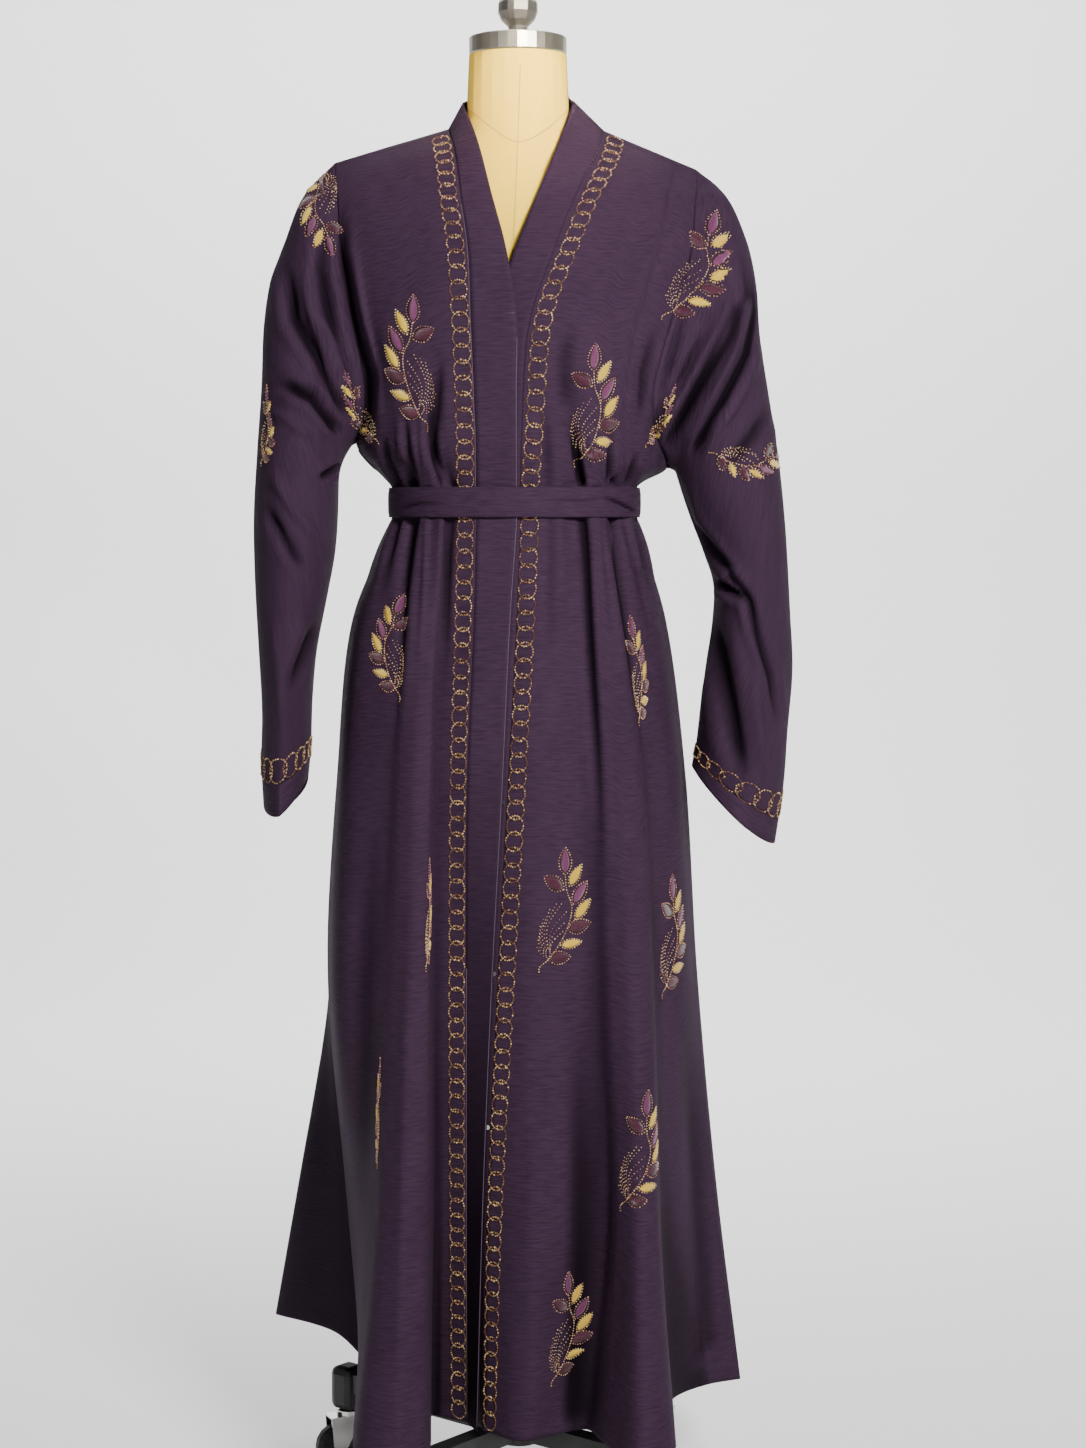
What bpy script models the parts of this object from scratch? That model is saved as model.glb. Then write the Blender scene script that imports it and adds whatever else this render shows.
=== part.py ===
# An open abaya, belted, worn on a limbless dress form that stands on a base with four casters.
# Lengths are millimetres until a mesh is made. +X is to the viewer's right, the front faces -Y,
# +Z is up, the floor is z = 0, and the form's own axis is x = 0, y = 0 until the last step.
# The wearer's right is at the viewer's left.

import math

import bmesh
import bpy
from mathutils import Matrix, Vector
from mathutils.bvhtree import BVHTree

MM = 0.001
SHARP_ANGLE = math.radians(40)

# Driving sizes of the cloth
CLOTH_WALL = 2.0
SEAM_GAP = 0.3
COLUMN_STEPS = 2
WAIST_X = -4.0
WAIST_HALF_WIDTH = 134.0
WAIST_HALF_DEPTH = 104.0
BELT_HEIGHT = 32.0
BELT_MIDDLE_Z = 1126.0
BELT_HALF_WIDTH = 137.5
BELT_HALF_DEPTH = 109.5
BELT_SIDES = 40
KNOT_SIZE = (40.0, 15.0, 31.0)
KNOT_ROUNDING = 5.0
TAIL_LENGTH = 300.0
TAIL_ROWS = 6
TAIL_SPREAD = (10.5, 34.0)
TAIL_CLEARANCE = 4.0
TAIL_EASE = 6
CUFF_DEPTH = 26.0
SPLIT_AXIS = Vector((1.0, 0.37, 0.61))

# Driving sizes of the dress form
NECK_CAP_RADIUS = 52.5
NECK_CAP_THICK = 18.6
KNOB_RADIUS = 22.0
KNOB_NECK_HEIGHT = 10.0
KNOB_FOOT = ((9.5, 7), (12, 5), (12, 1), (11, 0), (0, 0))
KNOB_TURNS = range(0, 151, 25)
KNOB_SINK = 0.93
CAP_EASE = 1.0
PLATE_RADIUS = 62.0
PLATE_THICK = 12.0
POLE_RADIUS = 14.0
HUB_RADIUS = 24.0
HUB_HIGH_Z = 150.0
HUB_SKIRT = 4.0
EDGE_EASE = 2.0
LEG_MIDDLE_Z = 100.0
LEG_SIZE = 22.0
LEG_COUNT = 4
LEG_TURN = 50.3
BOOT_REACH = 261.0
BOOT_WIDTH = 34.0
BOOT_LOW_Z = 66.0
BOOT_HIGH_Z = 118.0
BOOT_ROUNDING = 9.0
WHEEL_RADIUS = 25.0
WHEEL_WIDTH = 18.0
CASTER_TRAIL = 16.0
CASTER_TURNS = (200.0, 205.0, 250.0, 300.0)
FORK_HIGH_Z = 60.0
FORK_STRAP = 2.0
WHEEL_CLEARANCE = 2.5
FORK_WIDTH = WHEEL_WIDTH + 2 * WHEEL_CLEARANCE
FORK_OVERHANG = 10.0
AXLE_EYE_RADIUS = 7.0
RACE_RADIUS = 15.0
WHEEL_PROFILE = ((0, 9), (9, 9), (21, 7.5), (25, 4), (25, -4), (21, -7.5), (9, -9), (0, -9))

# Levels of the body from the hem up, and the rows from each one to the next.
LEVEL_STEPS = {"hem": 2, "shin": 2, "slit_top": 2, "thigh": 2, "hip": 2, "belt_low": 1,
               "belt_high": 1, "underarm": 1, "ribs": 1, "bust": 2, "chest": 2, "armhole_mid": 1,
               "collar": 1, "yoke": 2, "shoulder": 0}
LEVELS = tuple(LEVEL_STEPS)


def row_of(level):
    return sum(LEVEL_STEPS[name] for name in LEVELS[:LEVELS.index(level)])


def waist(angle, inset=0.0):
    # A point of the waist's oval: 0 degrees is the viewer's right, 90 the back, 270 the front.
    turn = math.radians(angle)
    return (WAIST_X + (WAIST_HALF_WIDTH - inset) * math.cos(turn),
            (WAIST_HALF_DEPTH - inset) * math.sin(turn))


# Each row is a level: z at the first and the last column, then (x, y) or (x, y, rise) a column.
# Wearer's right front, from the side seam to the band. Columns: side, flank, groove, the flute's
# left, tip and right, recess, inset, band.
FRONT_RIGHT = {
    "hem": (127, 127, (-183, 127), (-176, -30), (-176, -130), (-164, -188), (-132, -204),
            (-97, -182), (-94, -44), (-82, -52), (-56, -68)),
    "shin": (365, 365, (-198, 74), (-180, -20), (-155, -112), (-142, -144), (-120, -160),
             (-95, -146), (-89, -88), (-80, -86), (-56, -98)),
    "slit_top": (604, 604, (-213, 35), (-192, -62), (-143, -108), (-128, -126), (-110, -136),
                 (-95, -130), (-88, -107), (-78, -107), (-55, -117)),
    "thigh": (830, 830, (-200, 20), (-182, -66), (-135, -104), (-122, -117), (-107, -125),
              (-93, -122), (-86, -109), (-74, -110), (-53, -120)),
    "hip": (1000, 1000, (-181, 5), (-165, -62), (-125, -93), (-113, -104), (-99, -110),
            (-87, -110), (-80, -101), (-68, -104), (-46, -113)),
    "belt_low": (1108, 1108, waist(180), waist(202), waist(219, 8), waist(223), waist(230),
                 waist(236), waist(239, 8), waist(244, 2), waist(253)),
    "belt_high": (1144, 1144, waist(180), waist(202), waist(217, 8), waist(222), waist(229),
                  waist(235), waist(238, 8), waist(244, 2), waist(253)),
    "underarm": (1190, 1190, (-174, 0), (-158, -48), (-130, -80), (-120, -90), (-109, -96),
                 (-98, -99), (-90, -94), (-73, -106), (-43, -111)),
    "ribs": (1214, 1214, (-166, -27), (-153, -58), (-130, -82), (-121, -90), (-110, -96),
             (-99, -100), (-92, -97), (-74, -107), (-44, -113)),
    "bust": (1245, 1245, (-163, -42), (-150, -64), (-132, -82), (-122, -90), (-111, -96),
             (-101, -100), (-93, -100), (-76, -108), (-45, -115)),
    "chest": (1315, 1315, (-173, -55), (-158, -70), (-143, -81), (-129, -89), (-117, -95),
              (-106, -99), (-95, -103), (-78, -108), (-48, -114)),
    "armhole_mid": (1388, 1388, (-187, -50), (-170, -62), (-154, -71), (-140, -78), (-127, -83),
                    (-114, -88), (-101, -92), (-82, -98), (-51, -105)),
    "collar": (1450, 1450, (-193, -30), (-176, -39), (-160, -46), (-145, -51), (-130, -56),
               (-116, -60), (-102, -64), (-86, -68), (-60, -73)),
    "yoke": (1472, 1497, (-196, -14), (-180, -19), (-164, -24), (-148, -28), (-133, -31),
             (-118, -34), (-102, -37), (-85, -39), (-67, -41)),
    "shoulder": (1491, 1527, (-197, 0), (-182, 0), (-167, 0), (-152, 0), (-137, 0),
                 (-121, 0), (-105, 0), (-90, 0), (-75, 0)),
}

# Wearer's left front, from the band to the side seam. Columns: band, swell, dip, tuck, the
# flute's left, tip and right, fold, flare, side.
FRONT_LEFT = {
    "hem": (127, 127, (-38, -96), (4, -130), (42, -106), (74, -90), (94, -140), (128, -204),
            (162, -180), (171, 8), (213, 62), (253, 84)),
    "shin": (365, 365, (-33, -109), (8, -131), (50, -123), (94, -106), (108, -132), (128, -152),
             (147, -140), (156, -76), (190, -10), (222, 50)),
    "slit_top": (604, 604, (-22, -120), (14, -132), (50, -127), (86, -113), (102, -122),
                 (122, -129), (140, -118), (149, -90), (180, -40), (199, 35)),
    "thigh": (830, 830, (-10, -122), (18, -129), (46, -124), (79, -112), (94, -115),
              (112, -114), (128, -104), (138, -84), (167, -44), (184, 20)),
    "hip": (1000, 1000, (-1, -115), (19, -118), (43, -113), (72, -102), (84, -103), (97, -98),
            (108, -89), (116, -73), (145, -40), (161, 5)),
    "belt_low": (1108, 1108, waist(273, 1), waist(281), waist(291), waist(302, 8), waist(307),
                 waist(313), waist(318), waist(323, 8), waist(336), waist(360)),
    "belt_high": (1144, 1144, waist(273, 1), waist(281), waist(291), waist(302, 8), waist(307),
                  waist(313), waist(318), waist(323, 8), waist(336), waist(360)),
    "underarm": (1190, 1163, (4, -112), (22, -111), (42, -107), (64, -91), (78, -95), (92, -87),
                 (102, -76), (113, -70), (138, -42), (157, 0)),
    "ribs": (1214, 1192, (5, -114), (23, -113), (43, -109), (61, -97), (76, -98), (91, -92),
             (102, -83), (114, -77), (134, -58), (149, -30)),
    "bust": (1245, 1240, (6, -116), (25, -115), (44, -111), (60, -101), (75, -101), (90, -95),
             (103, -88), (115, -82), (130, -74), (144, -60)),
    "chest": (1315, 1310, (13, -115), (31, -115), (50, -112), (68, -106), (84, -101),
              (99, -96), (113, -90), (127, -84), (143, -75), (161, -61)),
    "armhole_mid": (1388, 1385, (38, -105), (54, -103), (70, -99), (87, -93), (103, -88),
                    (119, -82), (135, -76), (150, -70), (166, -62), (183, -50)),
    "collar": (1450, 1450, (62, -73), (77, -71), (92, -68), (107, -64), (121, -60), (135, -56),
               (149, -51), (162, -46), (175, -40), (190, -30)),
    "yoke": (1494, 1466, (83, -41), (95, -39), (108, -37), (120, -34), (132, -31), (144, -28),
             (156, -25), (168, -21), (180, -18), (192, -14)),
    "shoulder": (1525, 1484, (93, 0), (104, 0), (115, 0), (126, 0), (137, 0), (148, 0),
                 (159, 0), (170, 0), (181, 0), (192, 0)),
}

# Back, from the viewer's right to the viewer's left.
BACK_COLUMNS = ("right_side", "right_wing", "roll_1", "dip_1", "roll_2", "dip_2", "roll_3",
                "dip_3", "roll_4", "left_wing", "pocket", "left_side")
BACK = {
    "hem": (127, 127, (240, 92), (246, 178), (192, 246), (128, 210), (62, 262), (-4, 222),
            (-70, 264), (-140, 224), (-226, 252, 24), (-292, 222, 36), (-212, 146, 34), (-174, 133)),
    "shin": (365, 365, (213, 58), (216, 140), (166, 204), (112, 184), (55, 222), (-6, 192),
             (-65, 222), (-128, 194), (-200, 206), (-253, 156), (-214, 104), (-190, 84)),
    "slit_top": (604, 604, (199, 35), (188, 112), (146, 162), (98, 158), (48, 180), (-8, 164),
                 (-62, 182), (-115, 163), (-168, 148), (-208, 104), (-214, 66), (-213, 35)),
    "thigh": (830, 830, (184, 20), (171, 80), (132, 127), (90, 131), (43, 145), (-8, 136),
              (-60, 146), (-106, 131), (-150, 111), (-182, 75), (-196, 45), (-200, 20)),
    "hip": (1000, 1000, (161, 5), (148, 62), (116, 97), (80, 104), (40, 114), (-8, 108),
            (-55, 114), (-96, 102), (-134, 82), (-162, 52), (-176, 28), (-181, 5)),
    "belt_low": (1108, 1108, waist(0), waist(24), waist(44), waist(58, 6), waist(72),
                 waist(90, 6), waist(106), waist(122, 6), waist(138), waist(156),
                 waist(168, 4), waist(180)),
    "belt_high": (1144, 1144, waist(0), waist(24), waist(44), waist(58, 6), waist(72),
                  waist(90, 6), waist(106), waist(122, 6), waist(138), waist(156),
                  waist(168, 4), waist(180)),
    "underarm": (1163, 1190, (157, 0), (146, 48), (116, 84), (82, 96), (42, 106), (-8, 102),
                 (-58, 108), (-98, 98), (-132, 78), (-156, 50), (-169, 24), (-174, 0)),
    "ribs": (1192, 1214, (153, 22), (143, 56), (114, 84), (81, 97), (42, 106), (-7, 103),
             (-56, 107), (-96, 98), (-129, 81), (-152, 58), (-164, 36), (-171, 22)),
    "bust": (1240, 1245, (150, 38), (138, 62), (112, 84), (80, 98), (42, 106), (-6, 104),
             (-54, 107), (-94, 99), (-126, 84), (-148, 66), (-161, 50), (-168, 38)),
    "chest": (1310, 1315, (163, 54), (148, 66), (118, 82), (82, 95), (42, 104), (-5, 102),
              (-52, 104), (-92, 96), (-126, 84), (-152, 70), (-167, 60), (-176, 52)),
    "armhole_mid": (1385, 1388, (183, 50), (164, 60), (130, 74), (88, 88), (44, 98), (-4, 98),
                    (-52, 98), (-96, 88), (-134, 74), (-164, 60), (-178, 54), (-188, 50)),
    "collar": (1450, 1450, (190, 31), (170, 41), (134, 54), (92, 66), (46, 76), (-3, 78),
               (-52, 76), (-98, 66), (-138, 54), (-168, 42), (-183, 36), (-194, 31)),
    "yoke": (1466, 1472, (192, 14), (160, 23, 12), (114, 34, 25), (82, 50, 33), (44, 66, 38),
             (3, 72, 39), (-37, 68, 38), (-70, 54, 33), (-94, 38, 24), (-128, 28, 16),
             (-163, 21, 7), (-196, 14)),
    "shoulder": (1484, 1491, (192, 0), (142.5, 0, 20), (93, 0, 39), (74, 32, 43),
                 (42, 56, 45), (4, 65, 46), (-32, 60, 44), (-58, 38, 41), (-75, 0, 38),
                 (-116, 0, 24), (-156, 0, 12), (-197, 0)),
}
NECK_CORNERS = (BACK_COLUMNS.index("roll_1"), BACK_COLUMNS.index("roll_4"))

# Free edge of each front band at every level: (x, y, z).
BAND_RIGHT_EDGE = {
    "hem": (-44, -101, 127), "shin": (-37, -114, 365), "slit_top": (-27, -125, 604),
    "thigh": (-15, -128, 830), "hip": (-7, -120, 1000), "belt_low": (0, -106.5, 1108),
    "belt_high": (0, -106.5, 1144), "underarm": (0, -117, 1190), "ribs": (0, -119, 1214),
    "bust": (0, -121, 1245),
    "chest": (0, -120, 1315), "armhole_mid": (-11, -109, 1388), "collar": (-27, -78, 1450),
    "yoke": (-43.5, -51, 1507), "shoulder": (-61, 0, 1555),
}
BAND_LEFT_EDGE = {
    "hem": (-45, -58, 127), "shin": (-54, -91, 365), "slit_top": (-56, -111, 604),
    "thigh": (-46, -115, 830), "hip": (-38, -109, 1000), "belt_low": (-36, -96, 1108),
    "belt_high": (-36, -96, 1144), "underarm": (-35, -107, 1190), "ribs": (-34, -109, 1214),
    "bust": (-33, -111, 1245),
    "chest": (-26, -111, 1315), "armhole_mid": (-3, -104, 1388), "collar": (21, -77, 1450),
    "yoke": (44.5, -51, 1508), "shoulder": (61, 0, 1558),
}
# Free edge of the neck band round the back, between the two shoulders.
NECK_BAND_RISE = 38.0
NECK_BAND_LEAN = 6.0
NECK_BAND_FULLNESS = 1.6

# Sleeves, a row a ring: outer (x, z), inner (x, z), middle y, half depth, 1 for an oval or less
# for a ring pressed flat with a crease down its front and back, and how far those creases sag.
SLEEVE_RIGHT = (
    ((-228, 1459), (-181, 1187), -2, 62, 1.0, 0),
    ((-252, 1404), (-187, 1177), -3, 68, 1.0, 0),
    ((-267, 1362), (-191, 1168), -4, 72, 1.0, 0),
    ((-274, 1318), (-194, 1156), -5, 74, 1.0, 0),
    ((-277, 1252), (-195, 1134), -6, 75, 1.0, 0),
    ((-282, 1182), (-196, 1104), -8, 74, 1.0, 0),
    ((-286, 1112), (-199, 1070), -10, 74, 0.95, 0),
    ((-285, 1040), (-208, 1022), -12, 74, 0.9, 0),
    ((-281, 964), (-219, 966), -14, 74, 0.85, 2),
    ((-278, 902), (-224, 914), -15, 75, 0.8, 6),
    ((-279, 846), (-226, 862), -16, 76, 0.75, 14),
    ((-277, 806), (-229, 832), -17, 76, 0.7, 26),
)
SLEEVE_LEFT = (
    ((221, 1459), (165, 1163), -2, 62, 1.0, 0),
    ((246, 1409), (170, 1160), -3, 68, 1.0, 0),
    ((257, 1360), (173, 1152), -4, 72, 1.0, 0),
    ((261, 1306), (178, 1136), -5, 74, 1.0, 0),
    ((270, 1248), (187, 1110), -6, 75, 1.0, 0),
    ((281, 1180), (200, 1076), -8, 74, 1.0, 0),
    ((289, 1106), (212, 1038), -10, 73, 1.0, 0),
    ((295, 1010), (211, 998), -12, 72, 0.95, 0),
    ((298, 946), (204, 950), -14, 72, 0.9, 1),
    ((293, 880), (198, 904), -15, 72, 0.9, 3),
    ((289, 822), (194, 868), -16, 72, 0.85, 7),
    ((280, 760), (189, 842), -17, 72, 0.8, 14),
)

# Dress form, a row a section: z, half width, front depth, back depth, roundness exponent.
FORM_SECTIONS = (
    (818, 120, 74, 78, 2.2), (826, 150, 94, 100, 2.2), (870, 158, 99, 108, 2.2),
    (940, 156, 98, 106, 2.2), (1020, 138, 90, 92, 2.1), (1126, 114, 82, 80, 2.1),
    (1190, 122, 92, 84, 2.1), (1262, 134, 103, 88, 2.1), (1330, 142, 101, 90, 2.1),
    (1390, 157, 88, 84, 2.0), (1440, 170, 71, 66, 1.9), (1468, 171, 60, 54, 1.5),
    (1486, 156, 53, 48, 1.25), (1499, 127, 51.5, 46, 1.15), (1510, 94, 49.5, 46.5, 1.25),
    (1521, 62.5, 49, 47.5, 1.62), (1536, 55, 49, 50, 1.95), (1560, 54.5, 49, 50, 2.0),
    (1604.7, 52.5, 50, 50, 2.0),
)
FORM_SIDES = 24

# Studs along the band: height, and how far in from the free edge.
STUD_HEIGHTS = (811, 629, 463)
STUD_RADIUS = 2.6
STUD_THICK = 1.4
STUD_SEARCH_STEPS = 12
STUD_STEP_IN = 1.0
STUD_STAND_OFF = 1.45

COLOURS = {
    "crepe": ((0.060, 0.032, 0.075, 1), 0.75, 0.0),
    "linen": ((0.83, 0.69, 0.42, 1), 0.85, 0.0),
    "steel": ((0.62, 0.61, 0.60, 1), 0.22, 1.0),
    "black_metal": ((0.02, 0.02, 0.02, 1), 0.45, 0.0),
    "rubber": ((0.015, 0.015, 0.015, 1), 0.7, 0.0),
}


def clear_scene():
    for item in list(bpy.data.objects):
        bpy.data.objects.remove(item, do_unlink=True)


def make_collection(name):
    group = bpy.data.collections.new(name)
    bpy.context.scene.collection.children.link(group)
    return group


def make_material(name, colour, roughness, metallic):
    material = bpy.data.materials.new(name)
    material.use_nodes = True
    shader = material.node_tree.nodes["Principled BSDF"]
    shader.inputs["Base Color"].default_value = colour
    shader.inputs["Roughness"].default_value = roughness
    shader.inputs["Metallic"].default_value = metallic
    return material


def add_object(name, mesh, finish):
    # Each sub-part carries its own material, named for the piece.
    mesh.name = name
    item = bpy.data.objects.new(name, mesh)
    mesh.materials.clear()
    mesh.materials.append(make_material(name, *COLOURS[finish]))
    abaya_parts.objects.link(item)
    mesh.shade_smooth()
    mesh.set_sharp_from_angle(angle=SHARP_ANGLE)
    return item


def mix(a, b, share):
    return a + (b - a) * share


def smooth_line(points, steps, round_off=True):
    # A centripetal Catmull-Rom curve through the points, with a number of steps for each span.
    if not round_off:
        line = [mix(a, b, i / count) for a, b, count in zip(points, points[1:], steps)
                for i in range(count)]
        return line + [points[-1].copy()]
    knots = [0.0]
    for a, b in zip(points, points[1:]):
        knots.append(knots[-1] + max((b - a).length, 1e-6) ** 0.5)
    slopes = []
    for i in range(len(points)):
        low = max(i - 1, 0)
        high = min(i + 1, len(points) - 1)
        if low == i or high == i:
            slopes.append((points[high] - points[low]) / (knots[high] - knots[low]))
            continue
        before = (points[i] - points[low]) / (knots[i] - knots[low])
        after = (points[high] - points[i]) / (knots[high] - knots[i])
        share = (knots[i] - knots[low]) / (knots[high] - knots[low])
        slopes.append(mix(before, after, share))
    line = []
    for i in range(len(points) - 1):
        span = knots[i + 1] - knots[i]
        for step in range(steps[i]):
            t = step / steps[i]
            line.append(points[i] * (2 * t**3 - 3 * t**2 + 1) + points[i + 1] * (3 * t**2 - 2 * t**3)
                        + slopes[i] * span * (t**3 - 2 * t**2 + t)
                        + slopes[i + 1] * span * (t**3 - t**2))
    return line + [points[-1].copy()]


def level_points(row):
    # The places of one row's columns; z runs evenly from the first column's to the last's.
    z_first, z_last = row[:2]
    last = len(row) - 3
    places = []
    for i, entry in enumerate(row[2:]):
        rise = entry[2] if len(entry) > 2 else 0.0
        places.append(Vector((entry[0], entry[1], mix(z_first, z_last, i / last) + rise)))
    return places


def panel_grid(table):
    # Fine rows of fine columns, from the hem up. The shoulder row is straight between its columns.
    spans = [COLUMN_STEPS] * (len(table["hem"]) - 3)
    rows = [smooth_line(level_points(table[level]), spans, level != "shoulder")
            for level in LEVELS]
    steps = list(LEVEL_STEPS.values())[:-1]
    columns = [smooth_line(list(column), steps) for column in zip(*rows)]
    return [list(row) for row in zip(*columns)]


def grid_normals(grid, closed=False):
    # Outward normals of a grid whose columns run anticlockwise seen from above.
    width = len(grid[0])
    normals = []
    for i, row in enumerate(grid):
        above = grid[min(i + 1, len(grid) - 1)]
        below = grid[max(i - 1, 0)]
        line = []
        for j in range(width):
            if closed:
                along = row[(j + 1) % width] - row[j - 1]
            else:
                along = row[min(j + 1, width - 1)] - row[max(j - 1, 0)]
            line.append(along.cross(above[j] - below[j]).normalized())
        normals.append(line)
    return normals


class Sheet:
    # One cut piece: its outer points, and the directions its wall is measured along.
    def __init__(self, name, grid, closed=False, turn_over=False):
        self.name = name
        self.grid = grid
        self.closed = closed
        self.normals = grid_normals(grid, closed)
        if turn_over:
            self.normals = [[-normal for normal in line] for line in self.normals]

    def places(self):
        return [(i, j) for i in range(len(self.grid)) for j in range(len(self.grid[0]))]


def turn_alike(sheets):
    # Pieces that share a point at a seam or a corner turn their walls the same way there.
    shared = {}
    for sheet in sheets:
        for i, j in sheet.places():
            key = tuple(round(value, 2) for value in sheet.grid[i][j])
            shared.setdefault(key, []).append((sheet, i, j))
    for owners in shared.values():
        if len(owners) > 1:
            together = sum((sheet.normals[i][j] for sheet, i, j in owners), Vector()).normalized()
            for sheet, i, j in owners:
                sheet.normals[i][j] = together


def draw_back(sheet, places, inner_places):
    # Half of the gap at a seam: an edge moves towards the piece's own next line of points.
    moved = {}
    for (i, j), (k, m) in zip(places, inner_places):
        step = (sheet.grid[k][m] - sheet.grid[i][j]).normalized() * SEAM_GAP / 2
        moved[(i, j)] = sheet.grid[i][j] + step
    for (i, j), point in moved.items():
        sheet.grid[i][j] = point


def open_seams(sheet):
    # Every edge moves back by half the gap; at the free edges this only trims the cloth.
    height = len(sheet.grid)
    width = len(sheet.grid[0])
    if not sheet.closed:
        for edge, inside in ((0, 1), (width - 1, width - 2)):
            draw_back(sheet, [(i, edge) for i in range(height)],
                      [(i, inside) for i in range(height)])
    for edge, inside in ((0, 1), (height - 1, height - 2)):
        draw_back(sheet, [(edge, j) for j in range(width)], [(inside, j) for j in range(width)])


def wall(sheet, finish="crepe", thickness=CLOTH_WALL):
    # Closes a sheet into a solid wall: outer points, inner points and the rims between them.
    build = bmesh.new()
    outer = [[build.verts.new(point * MM) for point in row] for row in sheet.grid]
    inner = [[build.verts.new((point - normal * thickness) * MM)
              for point, normal in zip(row, line)]
             for row, line in zip(sheet.grid, sheet.normals)]
    height = len(outer)
    width = len(outer[0])
    spans = width if sheet.closed else width - 1
    for i in range(height - 1):
        for j in range(spans):
            cells = [(i, j), (i, (j + 1) % width), (i + 1, (j + 1) % width), (i + 1, j)]
            for corners in split_cell(cells, outer):
                build.faces.new([outer[a][b] for a, b in corners])
                build.faces.new([inner[a][b] for a, b in reversed(corners)])
    for i in (0, -1):
        for j in range(spans):
            k = (j + 1) % width
            rim(build, outer[i][j], outer[i][k], inner[i][j], inner[i][k])
    if not sheet.closed:
        for i in range(height - 1):
            for j in (0, -1):
                rim(build, outer[i][j], outer[i + 1][j], inner[i][j], inner[i + 1][j])
    bmesh.ops.recalc_face_normals(build, faces=build.faces)
    return add_object(sheet.name, mesh_from(build, sheet.name), finish)


def split_cell(cells, outer):
    # A twisted cell is split across its shorter diagonal, and so the same way on both sides.
    a, b, c, d = (outer[i][j].co for i, j in cells)
    if (c - a).length > (d - b).length:
        cells = cells[1:] + cells[:1]
    return (cells[0], cells[1], cells[2]), (cells[0], cells[2], cells[3])


def rim(build, a, b, inner_a, inner_b):
    # Two triangles of a rim, split the same way in both of the pieces that meet at a seam.
    if SPLIT_AXIS.dot(a.co) > SPLIT_AXIS.dot(b.co):
        a, b, inner_a, inner_b = b, a, inner_b, inner_a
    build.faces.new((a, b, inner_b))
    build.faces.new((a, inner_b, inner_a))


def mesh_from(build, name):
    mesh = bpy.data.meshes.new(name)
    build.to_mesh(mesh)
    build.free()
    return mesh


def band_grid(seam, edge_table, seam_first):
    # A front band: from its seam's points to its free edge.
    edge = smooth_line([Vector(edge_table[level]) for level in LEVELS],
                       list(LEVEL_STEPS.values())[:-1])
    rows = []
    for at_seam, at_edge in zip(seam, edge):
        line = [at_seam.copy(), at_edge]
        rows.append(line if seam_first else line[::-1])
    return rows


def neck_band_grid(seam):
    # The band round the back of the neck, rising from the back's neck seam.
    right = Vector(BAND_LEFT_EDGE["shoulder"])
    left = Vector(BAND_RIGHT_EDGE["shoulder"])
    edge = []
    for i, point in enumerate(seam):
        share = i / (len(seam) - 1)
        risen = point + Vector((0, -NECK_BAND_LEAN, NECK_BAND_RISE))
        fullness = min(1.0, NECK_BAND_FULLNESS * math.sin(math.pi * share))
        edge.append(mix(mix(right, left, share), risen, fullness))
    return [[point.copy() for point in seam], edge]


def sleeve_ring(outer, inner, middle_y, half_depth, roundness, sag, turns):
    # One ring, from its outer point round by the front.
    top = Vector((outer[0], middle_y, outer[1]))
    low = Vector((inner[0], middle_y, inner[1]))
    ring = []
    for turn in turns:
        across = math.copysign(abs(math.cos(turn)) ** (1 / roundness), math.cos(turn))
        point = mix(low, top, 0.5 + across / 2)
        point.y -= half_depth * math.sin(turn)
        point.z -= sag * abs(math.sin(turn))
        ring.append(point)
    return ring


def loop_turns(front, back):
    # Turns round a sleeve's rings, spaced as the armhole's own points are.
    turns = []
    for line, start in ((front, 0.0), (back, math.pi)):
        lengths = [0.0]
        for a, b in zip(line, line[1:]):
            lengths.append(lengths[-1] + (b - a).length)
        turns += [start + math.pi * length / lengths[-1] for length in lengths[:-1]]
    return turns


def sleeve_and_cuff(side, table, front, back, turn_over):
    # The sleeve leaves the armhole's own points, and its last stretch is the cuff.
    turns = loop_turns(front, back)
    grid = [[point.copy() for point in front + back[1:-1]]]
    grid += [sleeve_ring(*row, turns) for row in table]
    hem = grid.pop()
    seam = [point + (before - point).normalized() * CUFF_DEPTH
            for point, before in zip(hem, grid[-1])]
    grid.append(seam)
    cuff_grid = [[point.copy() for point in seam], hem]
    return (Sheet("sleeve_" + side, grid, True, turn_over),
            Sheet("cuff_" + side, cuff_grid, True, turn_over))


def shoulder_normals(front, back, back_columns):
    # Along a shoulder seam both walls point straight up from the seam.
    corner = front.grid[-1][0]
    tip = front.grid[-1][-1]
    upward = (tip - corner).cross(Vector((0, 1, 0))).normalized()
    upward *= math.copysign(1, upward.z)
    front.normals[-1] = [upward.copy() for _ in front.normals[-1]]
    for j in back_columns:
        back.normals[-1][j] = upward.copy()


def surface_y(sheet, x, z, from_front):
    # How far forward or back a sheet's outer side lies at one place.
    width = len(sheet.grid[0])
    points = [point for row in sheet.grid for point in row]
    quads = [(i * width + j, i * width + j + 1, (i + 1) * width + j + 1, (i + 1) * width + j)
             for i in range(len(sheet.grid) - 1) for j in range(width - 1)]
    tree = BVHTree.FromPolygons(points, quads)
    start = -1000.0 if from_front else 1000.0
    hit = tree.ray_cast(Vector((x, start, z)), Vector((0, -start, 0)))
    return hit[0].y


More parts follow.
